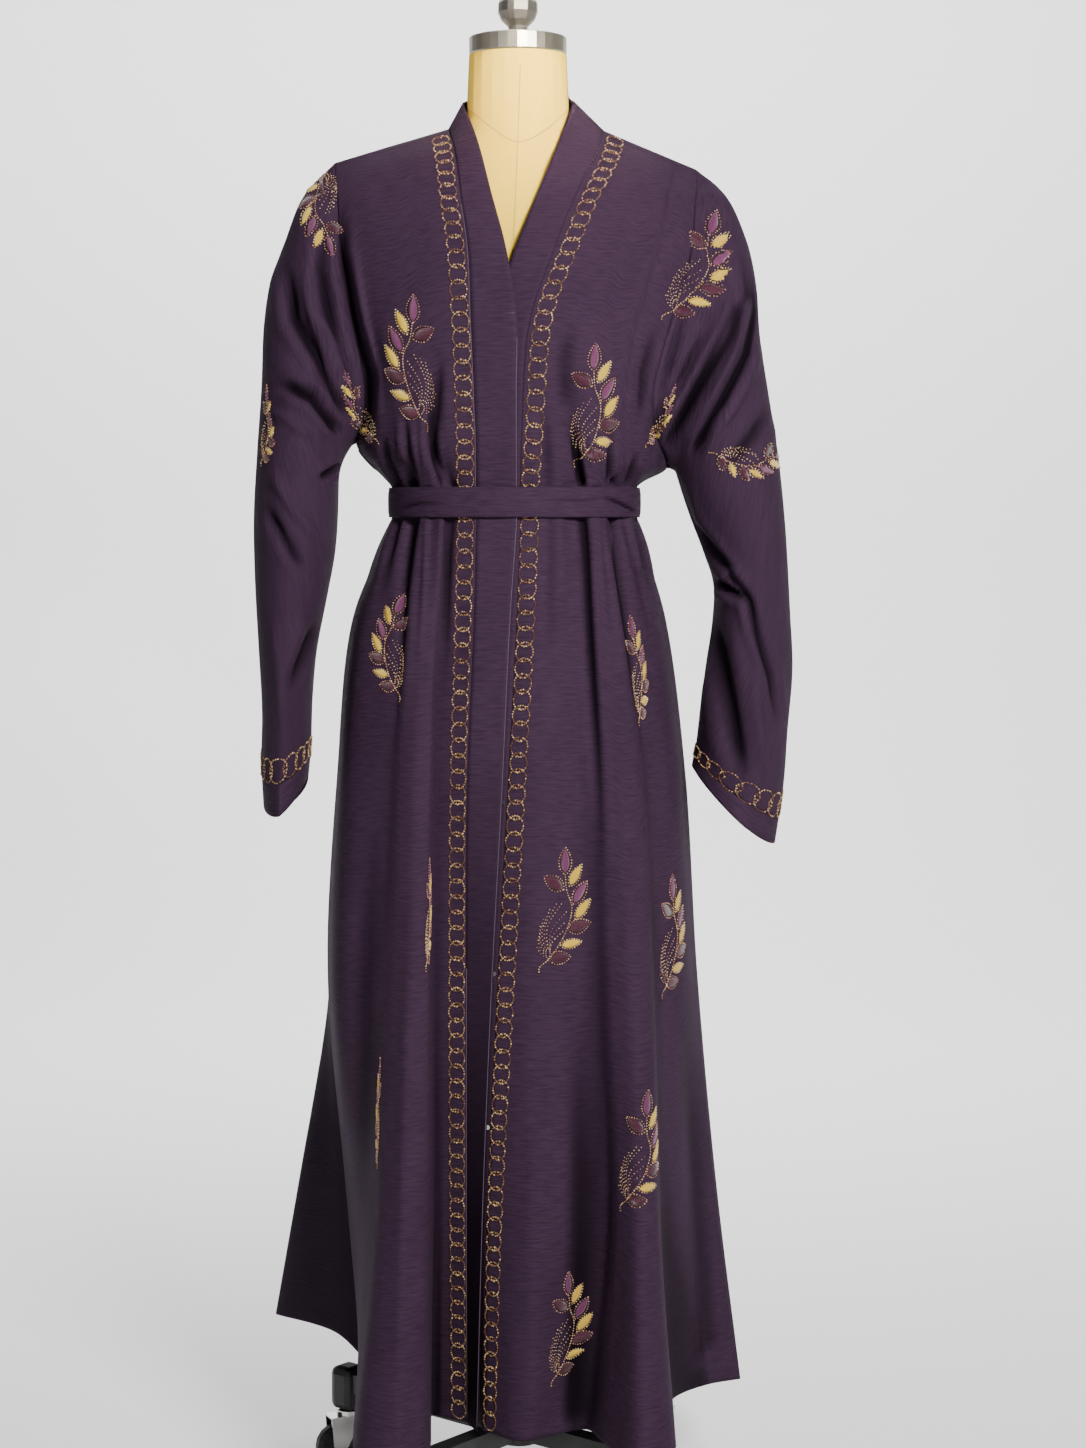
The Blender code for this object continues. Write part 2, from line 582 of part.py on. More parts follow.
def build_garment():
    front_right = Sheet("front_right", panel_grid(FRONT_RIGHT))
    front_left = Sheet("front_left", panel_grid(FRONT_LEFT))
    back_grid = panel_grid(BACK)
    slit_top = row_of("slit_top")
    underarm = row_of("underarm")
    for i in range(slit_top, underarm + 1):
        back_grid[i][0] = front_left.grid[i][-1].copy()
        back_grid[i][-1] = front_right.grid[i][0].copy()
    corner_right, corner_left = (index * COLUMN_STEPS for index in NECK_CORNERS)
    last_column = len(back_grid[0]) - 1
    for j in range(corner_right + 1):
        back_grid[-1][j] = mix(front_left.grid[-1][-1], front_left.grid[-1][0], j / corner_right)
    for j in range(corner_left, last_column + 1):
        share = (j - corner_left) / (last_column - corner_left)
        back_grid[-1][j] = mix(front_right.grid[-1][-1], front_right.grid[-1][0], share)
    back = Sheet("back", back_grid)

    pieces = [front_right, front_left, back]
    for side, table, front, front_column, back_column, turn_over in (
            ("right", SLEEVE_RIGHT, front_right, 0, last_column, True),
            ("left", SLEEVE_LEFT, front_left, -1, 0, False)):
        down = [row[front_column] for row in front.grid[underarm:]][::-1]
        up = [row[back_column] for row in back.grid[underarm:]]
        pieces += sleeve_and_cuff(side, table, down, up, turn_over)
    band_right = Sheet("band_right", band_grid([row[-1] for row in front_right.grid],
                                               BAND_RIGHT_EDGE, True))
    band_left = Sheet("band_left", band_grid([row[0] for row in front_left.grid],
                                             BAND_LEFT_EDGE, False))
    band_back = Sheet("band_back", neck_band_grid(back.grid[-1][corner_right:corner_left + 1]))
    pieces += [band_right, band_left, band_back]

    shoulder_normals(front_right, back, range(corner_left, last_column + 1))
    shoulder_normals(front_left, back, range(corner_right + 1))
    turn_alike(pieces)
    for sheet in pieces:
        open_seams(sheet)
        wall(sheet)
    return back, band_left


def build_belt(back):
    # The belt stands just off the gathered waist and is tied behind, its two ends hanging.
    low_z = BELT_MIDDLE_Z - BELT_HEIGHT / 2
    high_z = BELT_MIDDLE_Z + BELT_HEIGHT / 2
    ring = []
    for i in range(BELT_SIDES):
        turn = 2 * math.pi * i / BELT_SIDES
        ring.append(Vector((WAIST_X + BELT_HALF_WIDTH * math.cos(turn),
                            BELT_HALF_DEPTH * math.sin(turn), 0)))
    wall(Sheet("belt", [[point + Vector((0, 0, z)) for point in ring] for z in (low_z, high_z)],
               closed=True))

    knot_y = BELT_HALF_DEPTH + SEAM_GAP + KNOT_SIZE[1] / 2
    rounded_box("belt_knot", KNOT_SIZE, (WAIST_X, knot_y, BELT_MIDDLE_Z), KNOT_ROUNDING, "crepe")
    for name, lean in (("belt_end_right", -1), ("belt_end_left", 1)):
        rows = []
        for step in range(TAIL_ROWS + 1):
            share = step / TAIL_ROWS
            z = low_z - SEAM_GAP - (1 - share) * TAIL_LENGTH
            middle = WAIST_X + lean * mix(TAIL_SPREAD[1], TAIL_SPREAD[0], share)
            gathered = share ** TAIL_EASE
            half = mix(BELT_HEIGHT / 2, KNOT_SIZE[0] / 4 - 1, gathered)
            row = []
            for side in (1, 0, -1):
                x = middle + side * half
                resting = surface_y(back, x, z, False) + TAIL_CLEARANCE
                row.append(Vector((x, mix(resting, knot_y, gathered), z)))
            rows.append(row)
        wall(Sheet(name, rows))


def build_studs(band_left):
    # Press studs on the band that lies under, half hidden by the edge that laps over them.
    edge = smooth_line([Vector(BAND_RIGHT_EDGE[level]) for level in LEVELS],
                       [STUD_SEARCH_STEPS] * (len(LEVELS) - 1))
    for number, z in enumerate(STUD_HEIGHTS, 1):
        near = min(edge, key=lambda point: abs(point.z - z))
        x = near.x + STUD_STEP_IN
        y = surface_y(band_left, x, z, True) - STUD_STAND_OFF - STUD_THICK / 2
        bpy.ops.mesh.primitive_cylinder_add(vertices=12, radius=STUD_RADIUS * MM,
                                            depth=STUD_THICK * MM,
                                            rotation=(math.radians(90), 0, 0))
        keep_primitive("press_stud_%d" % number, (x, y, z), "steel")


def keep_primitive(name, place, finish):
    # Takes the primitive just added as a named sub-part at its place.
    item = bpy.context.object
    item.name = name
    item.location = Vector(place) * MM
    for group in list(item.users_collection):
        group.objects.unlink(item)
    abaya_parts.objects.link(item)
    item.data.name = name
    item.data.materials.append(make_material(name, *COLOURS[finish]))
    item.data.shade_smooth()
    item.data.set_sharp_from_angle(angle=SHARP_ANGLE)
    return item


def rounded_box(name, size, place, radius, finish, turn=0.0):
    bpy.ops.mesh.primitive_cube_add(size=1.0)
    item = keep_primitive(name, place, finish)
    item.data.transform(Matrix.Diagonal([value * MM for value in size] + [1.0]))
    item.rotation_euler.z = math.radians(turn)
    if radius:
        rounding = item.modifiers.new("rounded edges", "BEVEL")
        rounding.width = radius * MM
        rounding.segments = 2
    return item


def turned(name, profile, place, finish, sides=28):
    # A profile of (radius, height), run down its outer side, turned about the object's own Z.
    mesh = bpy.data.meshes.new(name)
    points = [(radius * MM, 0.0, height * MM) for radius, height in profile]
    mesh.from_pydata(points, [(i, i + 1) for i in range(len(points) - 1)], [])
    item = add_object(name, mesh, finish)
    item.location = Vector(place) * MM
    screw = item.modifiers.new("turned", "SCREW")
    screw.steps = sides
    screw.render_steps = sides
    screw.use_merge_vertices = True
    screw.merge_threshold = 0.0001
    screw.use_smooth_shade = True
    return item


def form_section(z, half_width, front, back, exponent):
    # One level of the form's body: a superellipse, deeper or shallower behind than in front.
    ring = []
    for i in range(FORM_SIDES):
        turn = 2 * math.pi * i / FORM_SIDES
        across = math.cos(turn)
        along = math.sin(turn)
        depth = back if along > 0 else front
        ring.append(Vector((half_width * math.copysign(abs(across) ** (2 / exponent), across),
                            depth * math.copysign(abs(along) ** (2 / exponent), along), z)))
    return ring


def build_form_body():
    build = bmesh.new()
    rings = [[build.verts.new(point * MM) for point in form_section(*row)]
             for row in FORM_SECTIONS]
    for low, high in zip(rings, rings[1:]):
        for i in range(FORM_SIDES):
            k = (i + 1) % FORM_SIDES
            build.faces.new((low[i], low[k], high[k], high[i]))
    build.faces.new(rings[0][::-1])
    build.faces.new(rings[-1])
    bmesh.ops.recalc_face_normals(build, faces=build.faces)
    add_object("form_body", mesh_from(build, "form_body"), "linen")


def build_form_top():
    # A steel disc closes the neck, and a turned knob stands on it.
    neck_top = FORM_SECTIONS[-1][0]
    cap_low = neck_top + SEAM_GAP
    cap_high = cap_low + NECK_CAP_THICK
    turned("neck_cap", ((0, cap_high), (NECK_CAP_RADIUS - CAP_EASE, cap_high),
                        (NECK_CAP_RADIUS, cap_high - CAP_EASE), (NECK_CAP_RADIUS, cap_low + CAP_EASE),
                        (NECK_CAP_RADIUS - CAP_EASE, cap_low), (0, cap_low)),
           (0, 0, 0), "steel", 32)
    knob_low = cap_high + SEAM_GAP
    middle = knob_low + KNOB_NECK_HEIGHT + KNOB_RADIUS * KNOB_SINK
    ball = []
    for turn in KNOB_TURNS:
        away = math.radians(turn)
        ball.append((KNOB_RADIUS * math.sin(away), middle + KNOB_RADIUS * math.cos(away)))
    foot = [(radius, knob_low + height) for radius, height in KNOB_FOOT]
    turned("neck_knob", ball + foot, (0, 0, 0), "steel", 18)


def build_stand():
    plate_high = FORM_SECTIONS[0][0] - SEAM_GAP
    plate_low = plate_high - PLATE_THICK
    turned("base_plate", ((0, plate_high), (PLATE_RADIUS, plate_high), (PLATE_RADIUS, plate_low),
                          (0, plate_low)), (0, 0, 0), "black_metal", 24)
    hub_low = LEG_MIDDLE_Z - LEG_SIZE / 2 - HUB_SKIRT
    turned("hub", ((0, HUB_HIGH_Z), (HUB_RADIUS - EDGE_EASE, HUB_HIGH_Z),
                   (HUB_RADIUS, HUB_HIGH_Z - EDGE_EASE), (HUB_RADIUS, hub_low), (0, hub_low)),
           (0, 0, 0), "black_metal", 24)
    pole_low = HUB_HIGH_Z + SEAM_GAP
    pole_high = plate_low - SEAM_GAP
    bpy.ops.mesh.primitive_cylinder_add(vertices=20, radius=POLE_RADIUS * MM,
                                        depth=(pole_high - pole_low) * MM)
    keep_primitive("pole", (0, 0, (pole_low + pole_high) / 2), "steel")
    for number in range(1, LEG_COUNT + 1):
        build_leg(number, LEG_TURN + 360 / LEG_COUNT * (number - 1))


def build_leg(number, turn):
    # A square bar, the boot on its end, and the caster under the boot.
    out = Vector((math.cos(math.radians(turn)), math.sin(math.radians(turn)), 0))
    bar_start = HUB_RADIUS + SEAM_GAP
    bar_end = BOOT_REACH - BOOT_WIDTH / 2 - SEAM_GAP
    bar_place = out * (bar_start + bar_end) / 2
    rounded_box("leg_%d" % number, (bar_end - bar_start, LEG_SIZE, LEG_SIZE),
                (bar_place.x, bar_place.y, LEG_MIDDLE_Z), 0.0, "black_metal", turn)
    boot = out * BOOT_REACH
    rounded_box("boot_%d" % number, (BOOT_WIDTH, BOOT_WIDTH, BOOT_HIGH_Z - BOOT_LOW_Z),
                (boot.x, boot.y, (BOOT_LOW_Z + BOOT_HIGH_Z) / 2), BOOT_ROUNDING, "rubber", turn)
    race_low = FORK_HIGH_Z + SEAM_GAP
    race_high = BOOT_LOW_Z - SEAM_GAP
    turned("race_%d" % number, ((0, race_high), (RACE_RADIUS, race_high), (RACE_RADIUS, race_low),
                                (0, race_low)), (boot.x, boot.y, 0), "steel", 12)
    trail_turn = CASTER_TURNS[number - 1]
    fork = build_fork("fork_%d" % number, boot, trail_turn)
    wheel = turned("wheel_%d" % number, WHEEL_PROFILE, (0, 0, 0), "rubber", 16)
    wheel.rotation_euler.x = math.radians(90)
    wheel.location = Vector((CASTER_TRAIL, 0, WHEEL_RADIUS)) * MM
    wheel.parent = fork


def build_fork(name, boot, turn):
    # A strap bent into a fork: a flat crown under the race and a leg down each side of the wheel.
    eye = (CASTER_TRAIL - AXLE_EYE_RADIUS, CASTER_TRAIL + AXLE_EYE_RADIUS,
           WHEEL_RADIUS - AXLE_EYE_RADIUS)
    crown = (-RACE_RADIUS, CASTER_TRAIL + FORK_OVERHANG, FORK_HIGH_Z)
    build = bmesh.new()
    lines = []
    for side, (x_low, x_high, z) in ((1, eye), (1, crown), (-1, crown), (-1, eye)):
        y = side * FORK_WIDTH / 2
        lines.append([build.verts.new(Vector((x, y, z)) * MM) for x in (x_low, x_high)])
    for (a, b), (c, d) in zip(lines, lines[1:]):
        build.faces.new((a, b, d, c))
    item = add_object(name, mesh_from(build, name), "steel")
    strap = item.modifiers.new("strap", "SOLIDIFY")
    strap.thickness = FORK_STRAP * MM
    strap.offset = 1.0
    strap.use_even_offset = True
    item.location = Vector((boot.x, boot.y, 0)) * MM
    item.rotation_euler.z = math.radians(turn)
    return item


def stand_on_origin():
    # The origin is the middle of the box's underside: everything rides on one empty that moves there.
    bpy.context.view_layer.update()
    graph = bpy.context.evaluated_depsgraph_get()
    corners = []
    for item in abaya_parts.objects:
        seen = item.evaluated_get(graph)
        corners += [seen.matrix_world @ Vector(corner) for corner in seen.bound_box]
    frame = bpy.data.objects.new("abaya_frame", None)
    abaya_parts.objects.link(frame)
    frame.location.x = -(min(c.x for c in corners) + max(c.x for c in corners)) / 2
    frame.location.y = -(min(c.y for c in corners) + max(c.y for c in corners)) / 2
    for item in abaya_parts.objects:
        if item != frame and item.parent is None:
            item.parent = frame


clear_scene()
abaya_parts = make_collection("abaya_on_dress_form")
back_sheet, band_left_sheet = build_garment()
build_belt(back_sheet)
build_studs(band_left_sheet)
build_form_body()
build_form_top()
build_stand()
stand_on_origin()
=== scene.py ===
import bisect
import math
import random
import bmesh
import bpy
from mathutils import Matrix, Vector
from mathutils.bvhtree import BVHTree


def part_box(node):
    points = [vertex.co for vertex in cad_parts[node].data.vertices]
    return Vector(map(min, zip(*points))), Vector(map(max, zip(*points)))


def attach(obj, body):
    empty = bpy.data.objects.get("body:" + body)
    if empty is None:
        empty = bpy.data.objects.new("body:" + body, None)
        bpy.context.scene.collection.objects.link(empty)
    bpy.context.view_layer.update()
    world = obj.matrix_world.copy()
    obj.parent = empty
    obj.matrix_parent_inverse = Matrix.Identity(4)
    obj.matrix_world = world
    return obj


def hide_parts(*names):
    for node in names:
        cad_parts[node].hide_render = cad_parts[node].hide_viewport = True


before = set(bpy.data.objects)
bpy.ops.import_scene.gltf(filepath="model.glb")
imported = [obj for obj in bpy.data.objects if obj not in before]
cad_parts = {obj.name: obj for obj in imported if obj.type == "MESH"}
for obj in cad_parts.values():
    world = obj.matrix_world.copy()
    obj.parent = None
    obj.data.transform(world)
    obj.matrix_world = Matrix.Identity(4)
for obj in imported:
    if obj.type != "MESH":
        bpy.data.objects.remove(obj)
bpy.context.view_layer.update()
mm = 0.001
rootBody = "form_and_abaya"
poleLow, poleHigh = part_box("pole")
axisPlace = Vector(((poleLow[0] + poleHigh[0]) / 2, (poleLow[1] + poleHigh[1]) / 2, 0.0))  # the form's own axis

# The cut of the cloth, in mm from the form's axis, with the front towards -y.
# A row is a level: z at its first and last column, then (x, y) or (x, y, rise) for each column.
waist = {"x": -4.0, "halfWidth": 134.0, "halfDepth": 104.0}


def waistRow(z, *places):  # an angle is 0 at the viewer's right and 90 behind; some have an inset
    row = [z, z]
    for each in places:
        angle, inset = each if isinstance(each, tuple) else (each, 0.0)
        turn = math.radians(angle)
        row.append((waist["x"] + (waist["halfWidth"] - inset) * math.cos(turn),
                    (waist["halfDepth"] - inset) * math.sin(turn)))
    return tuple(row)


# wearer's right front, side seam to band
frontRightCut = {
    "hem": (127, 127, (-183, 127), (-176, -30), (-176, -130), (-164, -188), (-132, -204),
            (-97, -182), (-94, -44), (-82, -52), (-56, -68)),
    "shin": (365, 365, (-198, 74), (-180, -20), (-155, -112), (-142, -144), (-120, -160),
             (-95, -146), (-89, -88), (-80, -86), (-56, -98)),
    "slitTop": (604, 604, (-213, 35), (-192, -62), (-143, -108), (-128, -126), (-110, -136),
                 (-95, -130), (-88, -107), (-78, -107), (-55, -117)),
    "thigh": (830, 830, (-200, 20), (-182, -66), (-135, -104), (-122, -117), (-107, -125),
              (-93, -122), (-86, -109), (-74, -110), (-53, -120)),
    "hip": (1000, 1000, (-181, 5), (-165, -62), (-125, -93), (-113, -104), (-99, -110),
            (-87, -110), (-80, -101), (-68, -104), (-46, -113)),
    "beltLow": waistRow(1108, 180, 202, (219, 8), 223, 230, 236, (239, 8), (244, 2), 253),
    "beltHigh": waistRow(1144, 180, 202, (217, 8), 222, 229, 235, (238, 8), (244, 2), 253),
    "underarm": (1190, 1190, (-174, 0), (-158, -48), (-130, -80), (-120, -90), (-109, -96),
                 (-98, -99), (-90, -94), (-73, -106), (-43, -111)),
    "ribs": (1214, 1214, (-166, -27), (-153, -58), (-130, -82), (-121, -90), (-110, -96),
             (-99, -100), (-92, -97), (-74, -107), (-44, -113)),
    "bust": (1245, 1245, (-163, -42), (-150, -64), (-132, -82), (-122, -90), (-111, -96),
             (-101, -100), (-93, -100), (-76, -108), (-45, -115)),
    "chest": (1315, 1315, (-173, -55), (-158, -70), (-143, -81), (-129, -89), (-117, -95),
              (-106, -99), (-95, -103), (-78, -108), (-48, -114)),
    "armholeMid": (1388, 1388, (-187, -50), (-170, -62), (-154, -71), (-140, -78), (-127, -83),
                    (-114, -88), (-101, -92), (-82, -98), (-51, -105)),
    "collar": (1450, 1450, (-193, -30), (-176, -39), (-160, -46), (-145, -51), (-130, -56),
               (-116, -60), (-102, -64), (-86, -68), (-60, -73)),
    "yoke": (1472, 1497, (-196, -14), (-180, -19), (-164, -24), (-148, -28), (-133, -31),
             (-118, -34), (-102, -37), (-85, -39), (-67, -41)),
    "shoulder": (1491, 1527, (-197, 0), (-182, 0), (-167, 0), (-152, 0), (-137, 0),
                 (-121, 0), (-105, 0), (-90, 0), (-75, 0)),
}

# wearer's left front, band to side seam
frontLeftCut = {
    "hem": (127, 127, (-38, -96), (4, -130), (42, -106), (74, -90), (94, -140), (128, -204),
            (162, -180), (171, 8), (213, 62), (253, 84)),
    "shin": (365, 365, (-33, -109), (8, -131), (50, -123), (94, -106), (108, -132), (128, -152),
             (147, -140), (156, -76), (190, -10), (222, 50)),
    "slitTop": (604, 604, (-22, -120), (14, -132), (50, -127), (86, -113), (102, -122),
                 (122, -129), (140, -118), (149, -90), (180, -40), (199, 35)),
    "thigh": (830, 830, (-10, -122), (18, -129), (46, -124), (79, -112), (94, -115),
              (112, -114), (128, -104), (138, -84), (167, -44), (184, 20)),
    "hip": (1000, 1000, (-1, -115), (19, -118), (43, -113), (72, -102), (84, -103), (97, -98),
            (108, -89), (116, -73), (145, -40), (161, 5)),
    "beltLow": waistRow(1108, (273, 1), 281, 291, (302, 8), 307, 313, 318, (323, 8), 336, 360),
    "beltHigh": waistRow(1144, (273, 1), 281, 291, (302, 8), 307, 313, 318, (323, 8), 336, 360),
    "underarm": (1190, 1163, (4, -112), (22, -111), (42, -107), (64, -91), (78, -95), (92, -87),
                 (102, -76), (113, -70), (138, -42), (157, 0)),
    "ribs": (1214, 1192, (5, -114), (23, -113), (43, -109), (61, -97), (76, -98), (91, -92),
             (102, -83), (114, -77), (134, -58), (149, -30)),
    "bust": (1245, 1240, (6, -116), (25, -115), (44, -111), (60, -101), (75, -101), (90, -95),
             (103, -88), (115, -82), (130, -74), (144, -60)),
    "chest": (1315, 1310, (13, -115), (31, -115), (50, -112), (68, -106), (84, -101),
              (99, -96), (113, -90), (127, -84), (143, -75), (161, -61)),
    "armholeMid": (1388, 1385, (38, -105), (54, -103), (70, -99), (87, -93), (103, -88),
                    (119, -82), (135, -76), (150, -70), (166, -62), (183, -50)),
    "collar": (1450, 1450, (62, -73), (77, -71), (92, -68), (107, -64), (121, -60), (135, -56),
               (149, -51), (162, -46), (175, -40), (190, -30)),
    "yoke": (1494, 1466, (83, -41), (95, -39), (108, -37), (120, -34), (132, -31), (144, -28),
             (156, -25), (168, -21), (180, -18), (192, -14)),
    "shoulder": (1525, 1484, (93, 0), (104, 0), (115, 0), (126, 0), (137, 0), (148, 0),
                 (159, 0), (170, 0), (181, 0), (192, 0)),
}

# back, from the viewer's right to the viewer's left
backCut = {
    "hem": (127, 127, (240, 92), (246, 178), (192, 246), (128, 210), (62, 262), (-4, 222),
            (-70, 264), (-140, 224), (-226, 252, 24), (-292, 222, 36), (-212, 146, 34), (-174, 133)),
    "shin": (365, 365, (213, 58), (216, 140), (166, 204), (112, 184), (55, 222), (-6, 192),
             (-65, 222), (-128, 194), (-200, 206), (-253, 156), (-214, 104), (-190, 84)),
    "slitTop": (604, 604, (199, 35), (188, 112), (146, 162), (98, 158), (48, 180), (-8, 164),
                 (-62, 182), (-115, 163), (-168, 148), (-208, 104), (-214, 66), (-213, 35)),
    "thigh": (830, 830, (184, 20), (171, 80), (132, 127), (90, 131), (43, 145), (-8, 136),
              (-60, 146), (-106, 131), (-150, 111), (-182, 75), (-196, 45), (-200, 20)),
    "hip": (1000, 1000, (161, 5), (148, 62), (116, 97), (80, 104), (40, 114), (-8, 108),
            (-55, 114), (-96, 102), (-134, 82), (-162, 52), (-176, 28), (-181, 5)),
    "beltLow": waistRow(1108, 0, 24, 44, (58, 6), 72, (90, 6), 106, (122, 6), 138, 156, (168, 4), 180),
    "beltHigh": waistRow(1144, 0, 24, 44, (58, 6), 72, (90, 6), 106, (122, 6), 138, 156, (168, 4), 180),
    "underarm": (1163, 1190, (157, 0), (146, 48), (116, 84), (82, 96), (42, 106), (-8, 102),
                 (-58, 108), (-98, 98), (-132, 78), (-156, 50), (-169, 24), (-174, 0)),
    "ribs": (1192, 1214, (153, 22), (143, 56), (114, 84), (81, 97), (42, 106), (-7, 103),
             (-56, 107), (-96, 98), (-129, 81), (-152, 58), (-164, 36), (-171, 22)),
    "bust": (1240, 1245, (150, 38), (138, 62), (112, 84), (80, 98), (42, 106), (-6, 104),
             (-54, 107), (-94, 99), (-126, 84), (-148, 66), (-161, 50), (-168, 38)),
    "chest": (1310, 1315, (163, 54), (148, 66), (118, 82), (82, 95), (42, 104), (-5, 102),
              (-52, 104), (-92, 96), (-126, 84), (-152, 70), (-167, 60), (-176, 52)),
    "armholeMid": (1385, 1388, (183, 50), (164, 60), (130, 74), (88, 88), (44, 98), (-4, 98),
                    (-52, 98), (-96, 88), (-134, 74), (-164, 60), (-178, 54), (-188, 50)),
    "collar": (1450, 1450, (190, 31), (170, 41), (134, 54), (92, 66), (46, 76), (-3, 78),
               (-52, 76), (-98, 66), (-138, 54), (-168, 42), (-183, 36), (-194, 31)),
    "yoke": (1466, 1472, (192, 14), (160, 23, 12), (114, 34, 25), (82, 50, 33), (44, 66, 38),
             (3, 72, 39), (-37, 68, 38), (-70, 54, 33), (-94, 38, 24), (-128, 28, 16),
             (-163, 21, 7), (-196, 14)),
    "shoulder": (1484, 1491, (192, 0), (142.5, 0, 20), (93, 0, 39), (74, 32, 43),
                 (42, 56, 45), (4, 65, 46), (-32, 60, 44), (-58, 38, 41), (-75, 0, 38),
                 (-116, 0, 24), (-156, 0, 12), (-197, 0)),
}

# free edge of each front band: (x, y, z)
bandRightEdge = {
    "hem": (-44, -101, 127), "shin": (-37, -114, 365), "slitTop": (-27, -125, 604),
    "thigh": (-15, -128, 830), "hip": (-7, -120, 1000), "beltLow": (0, -106.5, 1108),
    "beltHigh": (0, -106.5, 1144), "underarm": (0, -117, 1190), "ribs": (0, -119, 1214),
    "bust": (0, -121, 1245),
    "chest": (0, -120, 1315), "armholeMid": (-11, -109, 1388), "collar": (-27, -78, 1450),
    "yoke": (-42, -50, 1507), "shoulder": (-59.5, 0, 1555),
}

bandLeftEdge = {
    "hem": (-45, -58, 127), "shin": (-54, -91, 365), "slitTop": (-56, -111, 604),
    "thigh": (-46, -115, 830), "hip": (-38, -109, 1000), "beltLow": (-36, -96, 1108),
    "beltHigh": (-36, -96, 1144), "underarm": (-35, -107, 1190), "ribs": (-34, -109, 1214),
    "bust": (-33, -111, 1245),
    "chest": (-26, -111, 1315), "armholeMid": (-3, -104, 1388), "collar": (21, -77, 1450),
    "yoke": (44, -50, 1508), "shoulder": (60, 0, 1557),
}

# a row a ring: outer (x, z), inner (x, z), middle y, half depth, roundness, sag at the creases
sleeveRightRings = (
    ((-228, 1459), (-181, 1187), -2, 62, 1.0, 0),
    ((-252, 1404), (-187, 1177), -3, 68, 1.0, 0),
    ((-267, 1362), (-191, 1168), -4, 72, 1.0, 0),
    ((-274, 1318), (-194, 1156), -5, 74, 1.0, 0),
    ((-277, 1252), (-195, 1134), -6, 75, 1.0, 0),
    ((-282, 1182), (-196, 1104), -8, 74, 1.0, 0),
    ((-286, 1112), (-199, 1070), -10, 74, 0.95, 0),
    ((-285, 1040), (-208, 1022), -12, 74, 0.9, 0),
    ((-281, 964), (-219, 966), -14, 74, 0.85, 2),
    ((-278, 902), (-224, 914), -15, 75, 0.8, 6),
    ((-279, 846), (-226, 862), -16, 76, 0.75, 14),
    ((-277, 806), (-229, 832), -17, 76, 0.7, 26),
)

sleeveLeftRings = (
    ((221, 1459), (165, 1163), -2, 62, 1.0, 0),
    ((246, 1409), (170, 1160), -3, 68, 1.0, 0),
    ((257, 1360), (173, 1152), -4, 72, 1.0, 0),
    ((261, 1306), (178, 1136), -5, 74, 1.0, 0),
    ((270, 1248), (187, 1110), -6, 75, 1.0, 0),
    ((281, 1180), (200, 1076), -8, 74, 1.0, 0),
    ((289, 1106), (212, 1038), -10, 73, 1.0, 0),
    ((295, 1010), (211, 998), -12, 72, 0.95, 0),
    ((298, 946), (204, 950), -14, 72, 0.9, 1),
    ((293, 880), (198, 904), -15, 72, 0.9, 3),
    ((289, 822), (194, 868), -16, 72, 0.85, 7),
    ((280, 760), (189, 842), -17, 72, 0.8, 14),
)
levelSteps = {"hem": 40, "shin": 40, "slitTop": 38, "thigh": 30, "hip": 20, "beltLow": 8,
              "beltHigh": 10, "underarm": 6, "ribs": 7, "bust": 16, "chest": 16,
              "armholeMid": 14, "collar": 9, "yoke": 8, "shoulder": 0}  # fine rows up to the next level
levels = list(levelSteps)
columnSteps = 8  # fine columns from one stated column to the next


def rowOf(level):
    return sum(levelSteps[name] for name in levels[:levels.index(level)])


# shapes from the cut
def smoothLine(points, steps):
    knots = [0.0]
    for a, b in zip(points, points[1:]):
        knots.append(knots[-1] + max((b - a).length, 1e-6) ** 0.5)
    slopes = []
    for i in range(len(points)):
        low = max(i - 1, 0)
        high = min(i + 1, len(points) - 1)
        if low == i or high == i:
            slopes.append((points[high] - points[low]) / (knots[high] - knots[low]))
            continue
        before = (points[i] - points[low]) / (knots[i] - knots[low])
        after = (points[high] - points[i]) / (knots[high] - knots[i])
        slopes.append(before.lerp(after, (knots[i] - knots[low]) / (knots[high] - knots[low])))
    line = []
    for i in range(len(points) - 1):
        span = knots[i + 1] - knots[i]
        for step in range(steps[i]):
            t = step / steps[i]
            line.append(points[i] * (2 * t**3 - 3 * t**2 + 1) + points[i + 1] * (3 * t**2 - 2 * t**3)
                        + slopes[i] * span * (t**3 - 2 * t**2 + t) + slopes[i + 1] * span * (t**3 - t**2))
    return line + [points[-1].copy()]


def straightLine(points, steps):
    line = [a.lerp(b, i / count) for a, b, count in zip(points, points[1:], steps) for i in range(count)]
    return line + [points[-1].copy()]


def levelPoints(row):
    zFirst, zLast = row[:2]
    last = len(row) - 3
    return [Vector((spot[0], spot[1], zFirst + (zLast - zFirst) * i / last + (spot[2] if len(spot) > 2 else 0)))
            for i, spot in enumerate(row[2:])]


def panelGrid(cut):
    spans = [columnSteps] * (len(cut["hem"]) - 3)
    rows = [(straightLine if level == "shoulder" else smoothLine)(levelPoints(cut[level]), spans)
            for level in levels]
    columns = [smoothLine(list(column), [levelSteps[name] for name in levels[:-1]])
               for column in zip(*rows)]
    return [list(row) for row in zip(*columns)]


def edgeLine(table):
    return smoothLine([Vector(table[level]) for level in levels], [levelSteps[name] for name in levels[:-1]])


def gridNormals(grid, closed, turnOver):
    width = len(grid[0])
    normals = []
    for i, row in enumerate(grid):
        above = grid[min(i + 1, len(grid) - 1)]
        below = grid[max(i - 1, 0)]
        line = []
        for j in range(width):
            along = row[min(j + 1, width - 1)] - row[max(j - 1, 0)]
            if closed:
                along = row[(j + 1) % width] - row[j - 1]
            normal = along.cross(above[j] - below[j])
            line.append((-normal if turnOver else normal).normalized())
        normals.append(line)
    return normals


